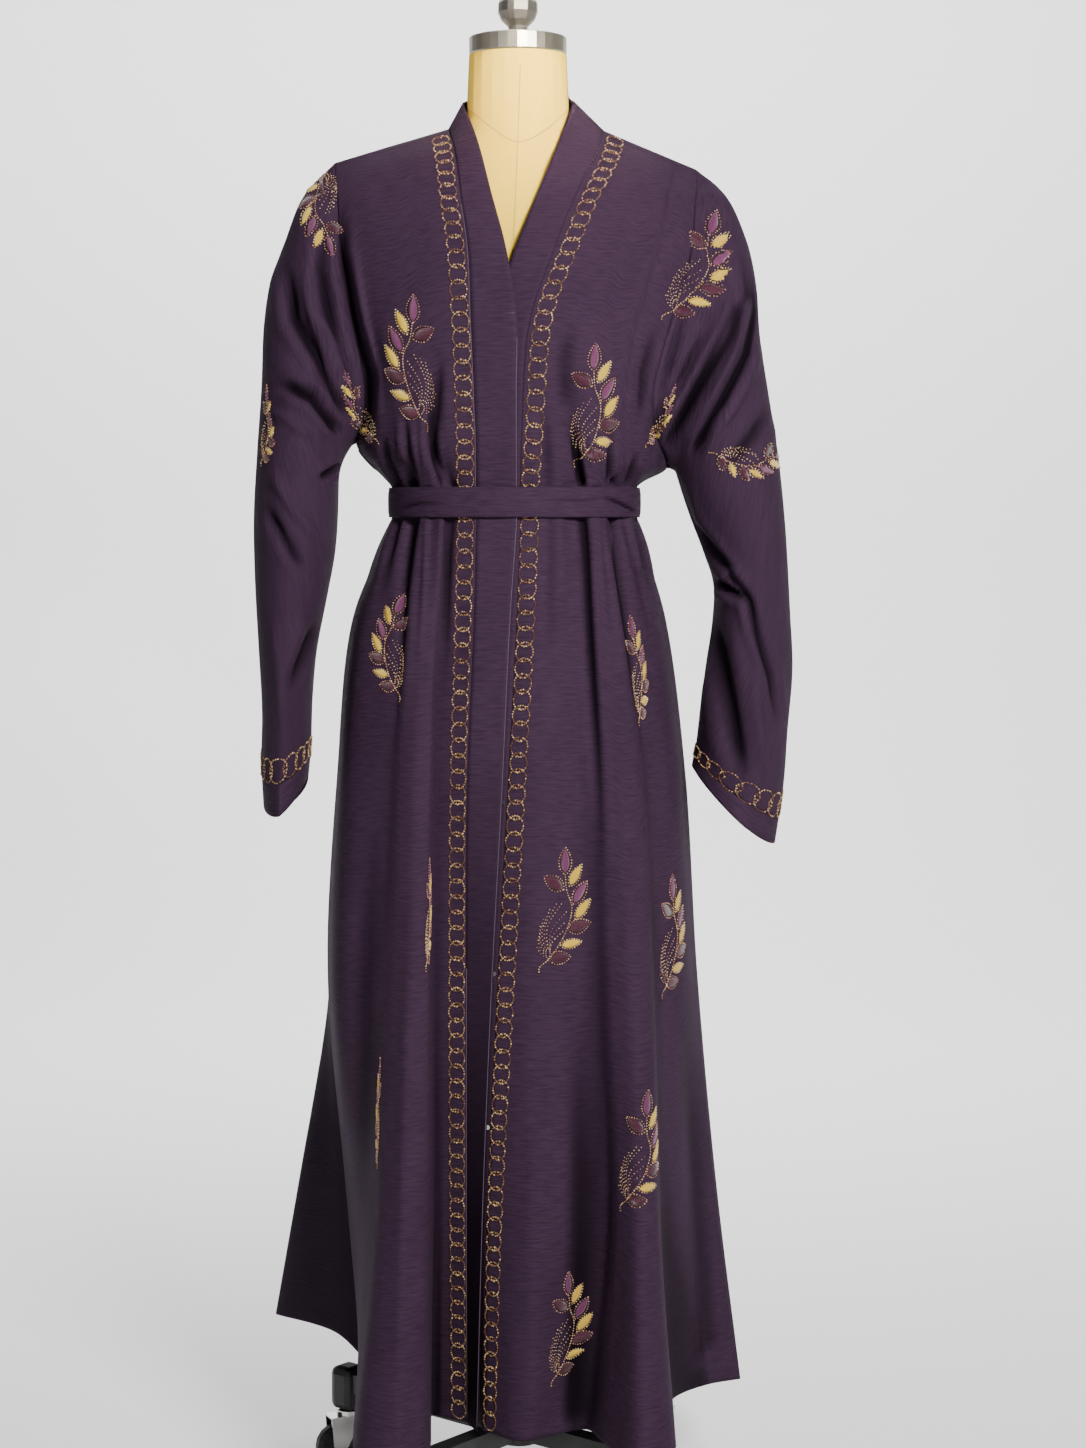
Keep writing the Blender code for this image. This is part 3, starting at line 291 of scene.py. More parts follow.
def lengthAt(lengths, at):  # the length at a fractional place in a list of lengths
    k = min(int(at), len(lengths) - 2)
    return lengths[k] + (lengths[k + 1] - lengths[k]) * (at - k)


def locate(lengths, target):  # the fractional place of a length, kept inside the list
    k = min(max(bisect.bisect_right(lengths, target) - 1, 0), len(lengths) - 2)
    return min(len(lengths) - 1.001, max(0.0, k + (target - lengths[k]) / (lengths[k + 1] - lengths[k])))


# painted shade in the folds: columns to each side, level ground, mm of fold, and the part that bows
foldShadePaint = {"columns": 8, "level": 0.62, "foldDepth": 15, "most": 0.4, "slack": 1.0, "bowDepth": 34}


class Cloth:  # one cut piece as fine rows of points, in mm from the form's axis
    def __init__(self, name, grid, closed=False, turnOver=False):
        self.name = name
        self.grid = grid
        self.closed = closed
        self.turnOver = turnOver
        self.normals = gridNormals(grid, closed, turnOver)
        self.across = [self.lengths(row + row[:1] if closed else row) for row in grid]
        self.down = [self.lengths(column) for column in zip(*grid)]  # a list for each column
        self.up = 1 if grid[-1][0].z > grid[0][0].z else -1
        sideways = (grid[-1][0] - grid[0][0]).cross(self.normals[0][0]) * self.up
        self.right = 1 if (grid[0][1] - grid[0][0]).dot(sideways) > 0 else -1
        self.net = None
        self.depth = [[0.0] * len(row) for row in grid]  # how far the folds move each point; painted shade for deep places is added here too, and it all sets the painted fold shade

    def lengths(self, line):
        found = [0.0]
        for a, b in zip(line, line[1:]):
            found.append(found[-1] + (b - a).length)
        return found

    def paintedShadeAt(self, i, j):  # painted shade tone: 0 in the deepest folds, 1 on the highest
        row, count = self.grid[i], len(self.grid[0])
        gap = min(foldShadePaint["columns"], count // 4)
        left, right = j - gap, j + gap
        if self.closed:
            left, right = left % count, right % count
        broad = 0.0
        if 0 <= left and right < count:
            broad = ((row[left] + row[right]) / 2 - row[j]).dot(self.normals[i][j])
        bowed = min(foldShadePaint["most"], max(0.0, broad - foldShadePaint["slack"]) / foldShadePaint["bowDepth"])
        return min(1.0, max(0.0, foldShadePaint["level"] + self.depth[i][j] / foldShadePaint["foldDepth"] - bowed))

    def tree(self):
        if self.net is None:
            width = len(self.grid[0])
            quads = [(i * width + j, i * width + (j + 1) % width,
                      (i + 1) * width + (j + 1) % width, (i + 1) * width + j)
                     for i in range(len(self.grid) - 1) for j in range(self.spans())]
            self.net = BVHTree.FromPolygons([point for row in self.grid for point in row], quads)
        return self.net

    def spans(self):
        return len(self.grid[0]) if self.closed else len(self.grid[0]) - 1

    def find(self, x, z, behind=False):  # the row and column at (x, z), seen from the front or from behind
        side = 1 if behind else -1
        hit, _, index, _ = self.tree().ray_cast(Vector((x, 900.0 * side, z)), Vector((0, -side, 0)))
        if hit is None:
            hit, _, index, _ = self.tree().find_nearest(Vector((x, 60.0 * side, z)))
        i, j = divmod(index, self.spans())
        corner = self.grid[i][j]
        step = self.grid[i][(j + 1) % len(self.grid[0])] - corner
        rise = self.grid[i + 1][j] - corner
        return (i + min(1.0, max(0.0, (hit - corner).dot(rise) / rise.length_squared)),
                j + min(1.0, max(0.0, (hit - corner).dot(step) / step.length_squared)))

    def covers(self, x, z):
        return self.tree().ray_cast(Vector((x, -900.0, z)), Vector((0, 1, 0)))[0] is not None

    def at(self, row, column):  # the point and the outward normal at a fractional row and column
        i = min(int(row), len(self.grid) - 2)
        j = int(column) if self.closed else min(int(column), len(self.grid[0]) - 2)
        v, u = row - i, column - j
        j, k = j % len(self.grid[0]), (j + 1) % len(self.grid[0])
        found = [table[i][j].lerp(table[i][k], u).lerp(table[i + 1][j].lerp(table[i + 1][k], u), v)
                 for table in (self.grid, self.normals)]
        return found[0], found[1].normalized()

    def walk(self, row, column, toRight, upward):  # from one place, so many mm over the cut
        lengths = self.down[int(round(column)) % len(self.down)]
        row = locate(lengths, lengthAt(lengths, row) + upward * self.up)
        lengths = self.across[int(round(row))]
        target = lengthAt(lengths, column) + toRight * self.right
        if self.closed:
            target %= lengths[-1]
        return row, locate(lengths, target)


def nearestOnLine(point, line):  # the distance, and the share of the line that lies before the nearest place
    best = None
    total = sum((b - a).length for a, b in zip(line, line[1:]))
    gone = 0.0
    for a, b in zip(line, line[1:]):
        step = b - a
        share = min(1.0, max(0.0, (point - a).dot(step) / step.length_squared))
        gap = (point - a - step * share).length
        if best is None or gap < best[0]:
            best = (gap, (gone + step.length * share) / total)
        gone += step.length
    return best


# in widths from the line, but for the swelling's share of a trough's depth and the mm held near a seam
foldForm = {"reach": 3.6, "sharp": 2.6, "swelling": 0.42, "swellingAt": 1.6, "swellingSharp": 2.0, "hold": 10.0}
frontFrom, frontFull = -12.0, 30.0  # drapes fade in over these mm towards the front


class Fold:  # a soft ridge or trough along a line of (x, z)
    def __init__(self, width, height, fade, line, behind):
        self.width = width
        self.height = height
        self.fade = fade
        self.line = [Vector(spot) for spot in line]
        self.facing = 1.0 if behind else -1.0
        self.reach = width * foldForm["reach"]
        self.low = [min(values) - self.reach for values in zip(*line)]
        self.high = [max(values) + self.reach for values in zip(*line)]

    def nears(self, point):
        return self.low[0] < point.x < self.high[0] and self.low[1] < point.z < self.high[1]

    def at(self, point):  # the distance from the line, and how far the cloth moves
        gap, share = nearestOnLine(Vector((point.x, point.z)), self.line)
        bell = math.exp(-(gap / self.width) ** 2 * foldForm["sharp"])
        if self.height < 0:  # a trough has a soft swelling along each side
            beside = (gap - foldForm["swellingAt"] * self.width) / self.width
            bell -= foldForm["swelling"] * math.exp(-beside ** 2 * foldForm["swellingSharp"])
        fadeIn, fadeOut = self.fade
        ends = min(1.0, share / fadeIn if fadeIn else 1.0, (1 - share) / fadeOut if fadeOut else 1.0)
        ends = ends * ends * (3 - 2 * ends)
        return gap, self.height * bell * ends


def drape(cloths, folds):  # folds that run on over a seam, pushed back and forth alone
    for cloth in cloths:
        for i, row in enumerate(cloth.grid):
            for k, point in enumerate(row):
                front = min(1.0, max(0.0, (frontFrom - point.y) / frontFull))
                if not front:
                    continue
                move = sum(fold.at(point)[1] for fold in folds if fold.nears(point)) * front
                row[k] = point - Vector((0, move, 0))
                cloth.depth[i][k] += move
        cloth.normals = gridNormals(cloth.grid, cloth.closed, cloth.turnOver)


def creaseAll(cloth, folds):  # folds pushed along the cloth's own normals, on the side that they face
    total = {}
    for fold in folds:
        for i, row in enumerate(cloth.grid):
            for j, point in enumerate(row):
                turned = cloth.normals[i][j].y * fold.facing
                if turned < 0.05 or not fold.nears(point):
                    continue
                gap, move = fold.at(point)
                if gap <= fold.reach:
                    total[(i, j)] = total.get((i, j), 0.0) + move * min(1.0, turned * 4)
    for (i, j), move in total.items():  # the seams stay where the neighbours meet them
        side = min(cloth.across[i][j], cloth.across[i][-1] - cloth.across[i][j])
        end = min(cloth.down[j][i], cloth.down[j][-1] - cloth.down[j][i])
        hold = min(1.0, 1.0 if cloth.closed else side / foldForm["hold"],
                   end / foldForm["hold"] if cloth.closed or i > len(cloth.grid) // 2 else 1.0)
        cloth.grid[i][j] = cloth.grid[i][j] + cloth.normals[i][j] * move * hold
        cloth.depth[i][j] += move * hold
    cloth.normals = gridNormals(cloth.grid, cloth.closed, cloth.turnOver)
    cloth.net = None


def makeCurrent(item):
    for other in bpy.context.selected_objects:
        other.select_set(False)
    item.select_set(True)
    bpy.context.view_layer.objects.active = item


def addMesh(name, mesh):
    item = bpy.data.objects.new(name, mesh)
    bpy.context.scene.collection.objects.link(item)
    makeCurrent(item)
    return item


def applyAll(item):
    makeCurrent(item)
    for modifier in list(item.modifiers):
        bpy.ops.object.modifier_apply(modifier=modifier.name)


def place(point):  # from mm round the form's axis to metres in the frame
    return axisPlace + point * mm


clothWall = 0.0012  # in metres
seamOpening = 0.04  # pieces meet with a gap of this size, in mm


def clothObject(cloth, node):
    mesh = bpy.data.meshes.new(cloth.name)
    build = bmesh.new()
    layer = build.loops.layers.uv.new("cut")
    # the painted fold shade of each point, read by the crepe's Base Color
    shade = build.verts.layers.float.new("fold")
    grid = [[point.copy() for point in row] for row in cloth.grid]
    width = len(grid[0])
    if not cloth.closed:
        for row in grid:
            row[0] += (row[1] - row[0]).normalized() * seamOpening
            row[-1] += (row[-2] - row[-1]).normalized() * seamOpening
    for edge, inside in ((0, 1), (-1, -2)):
        for j in range(width):
            grid[edge][j] += (grid[inside][j] - grid[edge][j]).normalized() * seamOpening
    verts = [[build.verts.new(place(point)) for point in row] for row in grid]
    for i, row in enumerate(verts):
        for j, vert in enumerate(row):
            vert[shade] = cloth.paintedShadeAt(i, j)
    spans = width if cloth.closed else width - 1
    for i in range(len(verts) - 1):
        for j in range(spans):
            k = (j + 1) % width
            corners = [(i, j), (i, k), (i + 1, k), (i + 1, j)]
            face = build.faces.new([verts[a][b] for a, b in corners])
            if cloth.turnOver:
                face.normal_flip()
            face.smooth = True
            for loop in face.loops:
                a, b = next((a, b) for a, b in corners if verts[a][b] == loop.vert)
                u = cloth.across[a][-1 if cloth.closed and k == 0 and b == 0 else b]
                loop[layer].uv = (u * mm, cloth.down[b][a] * mm)
    build.to_mesh(mesh)
    build.free()
    item = addMesh(cloth.name, mesh)
    thickness = item.modifiers.new("wall", "SOLIDIFY")
    thickness.thickness = clothWall
    thickness.offset = -1.0
    applyAll(item)
    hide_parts(node)
    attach(item, rootBody)
    return item


blouse = {"over": (1144.0, 56.0, 4.5), "under": (1108.0, 64.0, 4.0)}  # starts at, reach, height


def swollen(grid):  # the cloth swells over and under the belt, most at the sides
    for row in grid:
        for k, point in enumerate(row):
            start, reach, height = blouse["over" if point.z > 1126 else "under"]
            share = abs(point.z - start) / reach
            if share >= 1 or 1108 < point.z < 1144:
                continue
            outward = Vector((point.x - waist["x"], point.y, 0.0))
            toSide = min(1.0, abs(outward.x) / 118) ** 2
            row[k] = point + outward.normalized() * height * toSide * math.sin(math.pi * share ** 0.8)
    return grid


print("cloth: fronts, back and bands")
frontRight = Cloth("frontRightCloth", swollen(panelGrid(frontRightCut)))
frontLeft = Cloth("frontLeftCloth", swollen(panelGrid(frontLeftCut)))
backGrid = swollen(panelGrid(backCut))
for i in range(rowOf("slitTop"), rowOf("underarm") + 1):
    backGrid[i][0] = frontLeft.grid[i][-1].copy()
    backGrid[i][-1] = frontRight.grid[i][0].copy()
neckCorners = {"right": 2 * columnSteps, "left": 8 * columnSteps}  # where the back meets the neck band
lastColumn = len(backGrid[0]) - 1
for j in range(neckCorners["right"] + 1):
    backGrid[-1][j] = frontLeft.grid[-1][-1].lerp(frontLeft.grid[-1][0], j / neckCorners["right"])
for j in range(neckCorners["left"], lastColumn + 1):
    share = (j - neckCorners["left"]) / (lastColumn - neckCorners["left"])
    backGrid[-1][j] = frontRight.grid[-1][-1].lerp(frontRight.grid[-1][0], share)
back = Cloth("backCloth", backGrid)


def bandCloth(name, seam, edgeTable, seamFirst):
    rows = []
    for atSeam, atEdge in zip(seam, edgeLine(edgeTable)):
        line = [atSeam.lerp(atEdge, k / columnSteps) for k in range(columnSteps + 1)]
        rows.append(line if seamFirst else line[::-1])
    return Cloth(name, rows)


bandRight = bandCloth("bandRightCloth", [row[-1] for row in frontRight.grid], bandRightEdge, True)
bandLeft = bandCloth("bandLeftCloth", [row[0] for row in frontLeft.grid], bandLeftEdge, False)
neckBand = {"rise": 38.0, "lean": 6.0, "steps": 6}
neckSeam = back.grid[-1][neckCorners["right"]:neckCorners["left"] + 1]
rightTop, leftTop = Vector(bandLeftEdge["shoulder"]), Vector(bandRightEdge["shoulder"])
neckEdge = []
for i, point in enumerate(neckSeam):
    share = i / (len(neckSeam) - 1)
    inward = 0.26 - 0.1 * math.sin(math.pi * share)
    risen = point + Vector((-point.x * inward, -neckBand["lean"], neckBand["rise"]))
    neckEdge.append(rightTop.lerp(leftTop, share).lerp(risen, min(1.0, 1.6 * math.sin(math.pi * share))))
bandBack = Cloth("bandBackCloth", [[a.lerp(b, k / neckBand["steps"]) for a, b in zip(neckSeam, neckEdge)]
                                   for k in range(neckBand["steps"] + 1)])


def sleeveRing(outer, inner, middleY, halfDepth, roundness, sag, turns):
    top = Vector((outer[0], middleY, outer[1]))
    low = Vector((inner[0], middleY, inner[1]))
    ring = []
    for turn in turns:
        across = math.copysign(abs(math.cos(turn)) ** (1 / roundness), math.cos(turn))
        point = low.lerp(top, 0.5 + across / 2)
        point.y -= halfDepth * math.sin(turn)
        point.z -= sag * abs(math.sin(turn))
        ring.append(point)
    return ring


def loopTurns(front, rear):
    turns = []
    for line, start in ((front, 0.0), (rear, math.pi)):
        lengths = [0.0]
        for a, b in zip(line, line[1:]):
            lengths.append(lengths[-1] + (b - a).length)
        turns += [start + math.pi * length / lengths[-1] for length in lengths[:-1]]
    return turns


cuffDepth = 26.0
ringSteps = 11


def sleeveAndCuff(side, rings, front, rear, turnOver):
    turns = loopTurns(front, rear)
    coarse = [[point.copy() for point in front + rear[1:-1]]] + [sleeveRing(*row, turns) for row in rings]
    columns = [smoothLine(list(column), [ringSteps] * (len(coarse) - 1)) for column in zip(*coarse)]
    fine = [list(row) for row in zip(*columns)]
    seamRow = len(fine) - 1
    while (fine[seamRow][0] - fine[-1][0]).length < cuffDepth:
        seamRow -= 1
    sleeve = Cloth("sleeve" + side + "Cloth", fine[:seamRow + 1], True, turnOver)
    cuff = Cloth("cuff" + side + "Cloth", [[p.copy() for p in row] for row in fine[seamRow:]], True, turnOver)
    return sleeve, cuff


underarm = rowOf("underarm")
sleeveRight, cuffRight = sleeveAndCuff("Right", sleeveRightRings,
                                       [row[0] for row in frontRight.grid[underarm:]][::-1],
                                       [row[-1] for row in back.grid[underarm:]], True)
sleeveLeft, cuffLeft = sleeveAndCuff("Left", sleeveLeftRings,
                                     [row[-1] for row in frontLeft.grid[underarm:]][::-1],
                                     [row[0] for row in back.grid[underarm:]], False)


# folds, listed one by one: width, height (above 0 a ridge, below 0 a trough), the share of the line that
# fades in and out, and the line's (x, z)
print("folds")
folds = {
    "frontRight": {
        "front": (
            (5, -3.4, (0.7, 0), (-121, 1232), (-116, 1181), (-109, 1146)),
            (5, -3.0, (0.7, 0), (-93, 1240), (-88, 1180), (-82, 1146)),
            (5, 1.6, (0.7, 0), (-103, 1225), (-100, 1180), (-96, 1146)),
            (7, -2.4, (0.5, 0.3), (-80, 1285), (-85, 1232), (-88, 1190)),
            (5, -3.6, (0.5, 0), (-145, 1200), (-138, 1170), (-128, 1146)),
            (12, -2.5, (0.5, 0.4), (-160, 1330), (-150, 1270), (-152, 1215)),
            (5, -3.0, (0, 0.8), (-128, 1106), (-138, 1065), (-151, 1000)),
            (6, -2.6, (0, 0.7), (-111, 1106), (-119, 1044), (-124, 959), (-131, 853)),
            (5, 1.6, (0, 0.7), (-96, 1106), (-98, 1040), (-104, 940)),
            (5, -1.6, (0, 0.6), (-74, 1106), (-75, 1023), (-76, 918)),
            (7, 2.6, (0.1, 0.6), (-150, 1104), (-165, 1060), (-180, 990)),
            (16, -2.6, (0.4, 0.3), (-150, 820), (-165, 600), (-168, 330)),
            (12, 1.8, (0.4, 0.0), (-112, 760), (-118, 500), (-124, 150)),
        ),
    },
    "frontLeft": {
        "front": (
            (5.5, -5.0, (0.7, 0), (56, 1222), (62, 1175), (67, 1146)),
            (5, 1.8, (0.7, 0), (74, 1215), (79, 1175), (83, 1146)),
            (4.5, -4.0, (0.7, 0), (99, 1205), (98, 1170), (97, 1146)),
            (5, -3.6, (0.5, 0), (129, 1180), (122, 1160), (117, 1146)),
            (8, -1.6, (0.6, 0), (27, 1240), (31, 1180), (33, 1146)),
            (13, -1.8, (0.5, 0.3), (60, 1330), (50, 1270), (52, 1215)),
            (10, -2.8, (0.5, 0.3), (150, 1320), (135, 1260), (134, 1205)),
            (6, -3.4, (0, 0.7), (69, 1106), (72, 1065), (76, 981), (84, 855), (91, 706)),
            (6, -3.2, (0, 0.6), (99, 1106), (109, 1044), (119, 980), (130, 874)),
            (5, -2.2, (0, 0.7), (113, 1104), (130, 1044), (146, 959)),
            (5, -2.6, (0, 0.7), (127, 1104), (137, 1054), (152, 990)),
            (6, 2.8, (0.1, 0.6), (142, 1102), (152, 1060), (163, 1000)),
            (6, 1.8, (0, 0.7), (84, 1106), (90, 1040), (98, 950)),
            (7, -1.2, (0, 0.7), (36, 1106), (36, 1040), (34, 930)),
            (18, -2.4, (0.5, 0.0), (60, 640), (66, 420), (62, 150)),
            (16, 2.0, (0.5, 0.0), (20, 560), (16, 360), (18, 150)),
            (16, -2.6, (0.5, 0.0), (178, 640), (196, 420), (214, 180)),
        ),
    },
    "back": {
        "behind": (
            (6, -3.0, (0.7, 0), (-40, 1230), (-36, 1180), (-34, 1146)),
            (6, -3.4, (0.7, 0), (52, 1235), (46, 1180), (44, 1146)),
            (5, -3.0, (0.7, 0), (96, 1215), (90, 1175), (88, 1146)),
            (5, -3.4, (0.7, 0), (-92, 1220), (-88, 1175), (-86, 1146)),
            (7, -3.0, (0, 0.7), (-30, 1106), (-34, 1020), (-40, 900)),
            (7, -3.2, (0, 0.7), (60, 1106), (68, 1010), (74, 880)),
            (6, -2.6, (0, 0.7), (100, 1106), (112, 1030), (126, 930)),
            (6, -2.8, (0, 0.7), (-104, 1106), (-118, 1030), (-134, 920)),
            (16, -2.2, (0.4, 0.5), (110, 1360), (60, 1320), (10, 1310)),
            (16, -2.4, (0.4, 0.5), (-120, 1370), (-80, 1325), (-30, 1300)),
        ),
    },
    "sleeveRight": {
        "front": (
            (10, -5.5, (0.3, 0.2), (-250, 1392), (-236, 1320), (-210, 1280), (-176, 1196)),
            (9, 3.5, (0.4, 0.3), (-228, 1380), (-214, 1320), (-190, 1262), (-176, 1215)),
            (8, -6.5, (0.3, 0.15), (-262, 1252), (-240, 1247), (-216, 1236), (-188, 1196)),
            (8, 3.4, (0.3, 0.3), (-270, 1222), (-244, 1214), (-214, 1190)),
            (5, -5.0, (0.4, 0.2), (-212, 1150), (-200, 1158), (-189, 1168)),
            (9, 4.0, (0.3, 0.3), (-266, 1170), (-238, 1118), (-206, 1076)),
            (8, -3.6, (0.3, 0.3), (-272, 1128), (-250, 1092), (-222, 1050)),
            (8, -4.0, (0.3, 0.4), (-213, 1004), (-227, 964), (-243, 922)),
            (10, 2.6, (0.4, 0.3), (-262, 1010), (-252, 950), (-250, 880)),
        ),
        "behind": (
            (8, 3.0, (0.3, 0.3), (-262, 1200), (-250, 1160), (-256, 1120)),
            (10, -5.0, (0.3, 0.3), (-268, 1260), (-236, 1225), (-206, 1170)),
            (8, -4.0, (0.3, 0.3), (-262, 1100), (-240, 1060), (-222, 1040)),
        ),
    },
    "sleeveLeft": {
        "front": (
            (10, 4.0, (0.3, 0.3), (262, 1300), (246, 1262), (224, 1222), (196, 1190)),
            (10, -4.0, (0.4, 0.3), (274, 1232), (250, 1196), (216, 1160)),
            (6, -7.0, (0.15, 0.5), (211, 1043), (226, 1032), (243, 1020)),
            (7, 3.5, (0.2, 0.4), (214, 1058), (232, 1050), (250, 1038)),
            (6, -4.2, (0.15, 0.2), (172, 1150), (186, 1104), (220, 1060), (245, 1022), (252, 991),
             (270, 941), (280, 880)),
            (13, -5.5, (0.2, 0.3), (208, 1008), (219, 938), (232, 874), (246, 824)),
            (9, 3.6, (0.3, 0.2), (250, 960), (254, 900), (262, 830)),
        ),
        "behind": (
            (10, -5.0, (0.3, 0.3), (268, 1240), (232, 1196), (204, 1150)),
            (8, -5.0, (0.3, 0.3), (282, 1060), (246, 1030), (222, 1020)),
        ),
    },
}
drapes = (  # these run on over the armholes
    (7, -11, (0.4, 0.1), (237, 1404), (243, 1346), (226, 1302), (201, 1259), (158, 1187)),
    (7, -13, (0.35, 0.1), (249, 1390), (252, 1332), (242, 1281), (219, 1237), (183, 1173)),
    (6, -8, (0.4, 0.1), (229, 1379), (229, 1329), (208, 1288), (172, 1215), (151, 1173)),
    (6, -6, (0.5, 0.2), (201, 1317), (176, 1266), (148, 1202)),
    (4, -4.5, (0.3, 0.1), (158, 1187), (149, 1158), (140, 1142)),
    (7, -5, (0.5, 0.2), (186, 1365), (167, 1297), (150, 1222), (142, 1169)),
    (7, -9, (0.3, 0.2), (-191, 1450), (-186, 1387), (-175, 1325), (-160, 1265), (-157, 1180)),
    (8, -8, (0.4, 0.2), (-206, 1440), (-210, 1374), (-197, 1297), (-174, 1222)),
    (8, 3.5, (0.4, 0.3), (-176, 1400), (-166, 1330), (-152, 1262), (-150, 1200)),
)


def foldsOf(table, depth=1.0):
    return [Fold(width, height * depth, fade, line, side == "behind")
            for side, rows in table.items() for width, height, fade, *line in rows]


drape((frontRight, frontLeft, sleeveRight, sleeveLeft), foldsOf({"front": drapes}))
for cloth, name, depth in ((frontRight, "frontRight", 1.7), (frontLeft, "frontLeft", 1.7), (back, "back", 1.5),
                           (sleeveRight, "sleeveRight", 1.8), (sleeveLeft, "sleeveLeft", 1.7)):
    creaseAll(cloth, foldsOf(folds[name], depth))

# the belt, tied behind
belt = {"middleZ": 1126.0, "height": 32.0, "halfWidth": 137.5, "halfDepth": 109.5, "sides": 160,
        "rows": 13, "bulge": 0.9, "stitched": 0.5, "knot": (40.0, 15.0, 31.0)}
tail = {"length": 300.0, "near": 10.5, "far": 34.0, "gap": 4.0, "rows": 61, "half": 4, "bend": 6}
print("belt")
beltRows = []
for step in range(belt["rows"]):
    share = step / (belt["rows"] - 1)
    bulge = belt["bulge"] * math.sin(math.pi * share) ** 0.5
    if step in (1, belt["rows"] - 2):  # the two stitched edges
        bulge -= belt["stitched"]
    row = []
    for i in range(belt["sides"]):
        turn = 2 * math.pi * i / belt["sides"]
        row.append(Vector((waist["x"] + (belt["halfWidth"] - belt["bulge"] + bulge) * math.cos(turn),
                           (belt["halfDepth"] - belt["bulge"] + bulge) * math.sin(turn),
                           belt["middleZ"] + (share - 0.5) * belt["height"])))
    beltRows.append(row)
beltCloth = Cloth("beltCloth", beltRows, True)
creaseAll(beltCloth, foldsOf({"front": (
    (3.2, -1.5, (0.2, 0.6), (-128, 1119), (-104, 1125), (-70, 1124)),
    (3.0, 0.8, (0.2, 0.6), (-131, 1131), (-112, 1133), (-84, 1131)),
    (3.4, 0.6, (0.5, 0.5), (-60, 1118), (-10, 1121), (34, 1118)),
    (3.0, -0.7, (0.5, 0.4), (20, 1130), (60, 1127), (98, 1131)),
    (3.4, -2.0, (0.5, 0.1), (84, 1134), (108, 1126), (127, 1116)),
    (3.0, 1.0, (0.4, 0.1), (96, 1138), (116, 1133), (128, 1125)),
)}))
backTree = back.tree()


def behind(x, z):
    return backTree.ray_cast(Vector((x, 900.0, z)), Vector((0, -1, 0)))[0].y


tails = []
knotY = belt["halfDepth"] + 0.3 + belt["knot"][1] / 2
for name, lean in (("beltEndRightCloth", -1), ("beltEndLeftCloth", 1)):
    rows = []
    for step in range(tail["rows"]):
        share = step / (tail["rows"] - 1)
        z = belt["middleZ"] - belt["height"] / 2 - 0.3 - (1 - share) * tail["length"]
        middle = waist["x"] + lean * (tail["far"] + (tail["near"] - tail["far"]) * share)
        half = belt["height"] / 2 + (belt["knot"][0] / 4 - 1 - belt["height"] / 2) * share ** tail["bend"]
        row = []
        for k in range(2 * tail["half"] + 1):
            x = middle + (1 - k / tail["half"]) * half
            resting = behind(x, z) + tail["gap"]
            row.append(Vector((x, resting + (knotY - resting) * share ** tail["bend"], z)))
        rows.append(row)
    tails.append(Cloth(name, rows))

for cloth, lowX, highX, level, reach, dark in (  # painted shade in the deep places, out of the light
        (bandRight, -60, 20, 860, 500, 8.5),
        (bandLeft, -60, 20, 900, 500, 4.0),
        (back, -330, -120, 640, 120, 5.0)):
    for i, row in enumerate(cloth.grid):
        for k, point in enumerate(row):
            if lowX < point.x < highX and point.z < level:
                cloth.depth[i][k] -= dark * min(1.0, (level - point.z) / reach)
# the belt's small creases get five times the painted fold shade
beltCloth.depth = [[move * 5 for move in row] for row in beltCloth.depth]

sheets = []
for cloth, node, flat, area in (  # the flat width and length, in metres, and the flat area
        (frontRight, "front_right", (0.58, 1.43), 0.39),
        (frontLeft, "front_left", (0.61, 1.43), 0.43),
        (back, "back", (0.915, 1.44), 0.79),
        (sleeveRight, "sleeve_right", (0.46, 0.68), 0.21),
        (sleeveLeft, "sleeve_left", (0.49, 0.72), 0.23),
        (cuffRight, "cuff_right", (0.35, 0.034), 0.010),
        (cuffLeft, "cuff_left", (0.41, 0.029), 0.0088),
        (bandRight, "band_right", (0.049, 1.475), 0.053),
        (bandLeft, "band_left", (0.046, 1.484), 0.054),
        (bandBack, "band_back", (0.229, 0.046), 0.0084),
        (beltCloth, "belt", (0.778, 0.032), None),
        (tails[0], "belt_end_right", (0.033, 0.306), None),
        (tails[1], "belt_end_left", (0.033, 0.306), None)):
    sheets.append(clothObject(cloth, node))
    faces = sheets[-1].data.polygons
    print("  ", cloth.name, len(faces), "faces, one side", round(sum(face.area for face in faces) / 2, 4), "m2")


# beads, thread and satin leaves, each kind joined in one mesh
print("embroidery")
shaper = bmesh.new()
bmesh.ops.create_icosphere(shaper, subdivisions=1, radius=1.0)
beadPoints = [vert.co.copy() for vert in shaper.verts]
beadFaces = [tuple(vert.index for vert in face.verts) for face in shaper.faces]
shaper.free()
chance = random.Random(11)
leafSteps = (11, 5)  # points along and across a leaf


def leafHalf(t):  # half a leaf's width, t of the way to its tip
    return math.sin(math.pi * t ** 0.82) ** 0.85


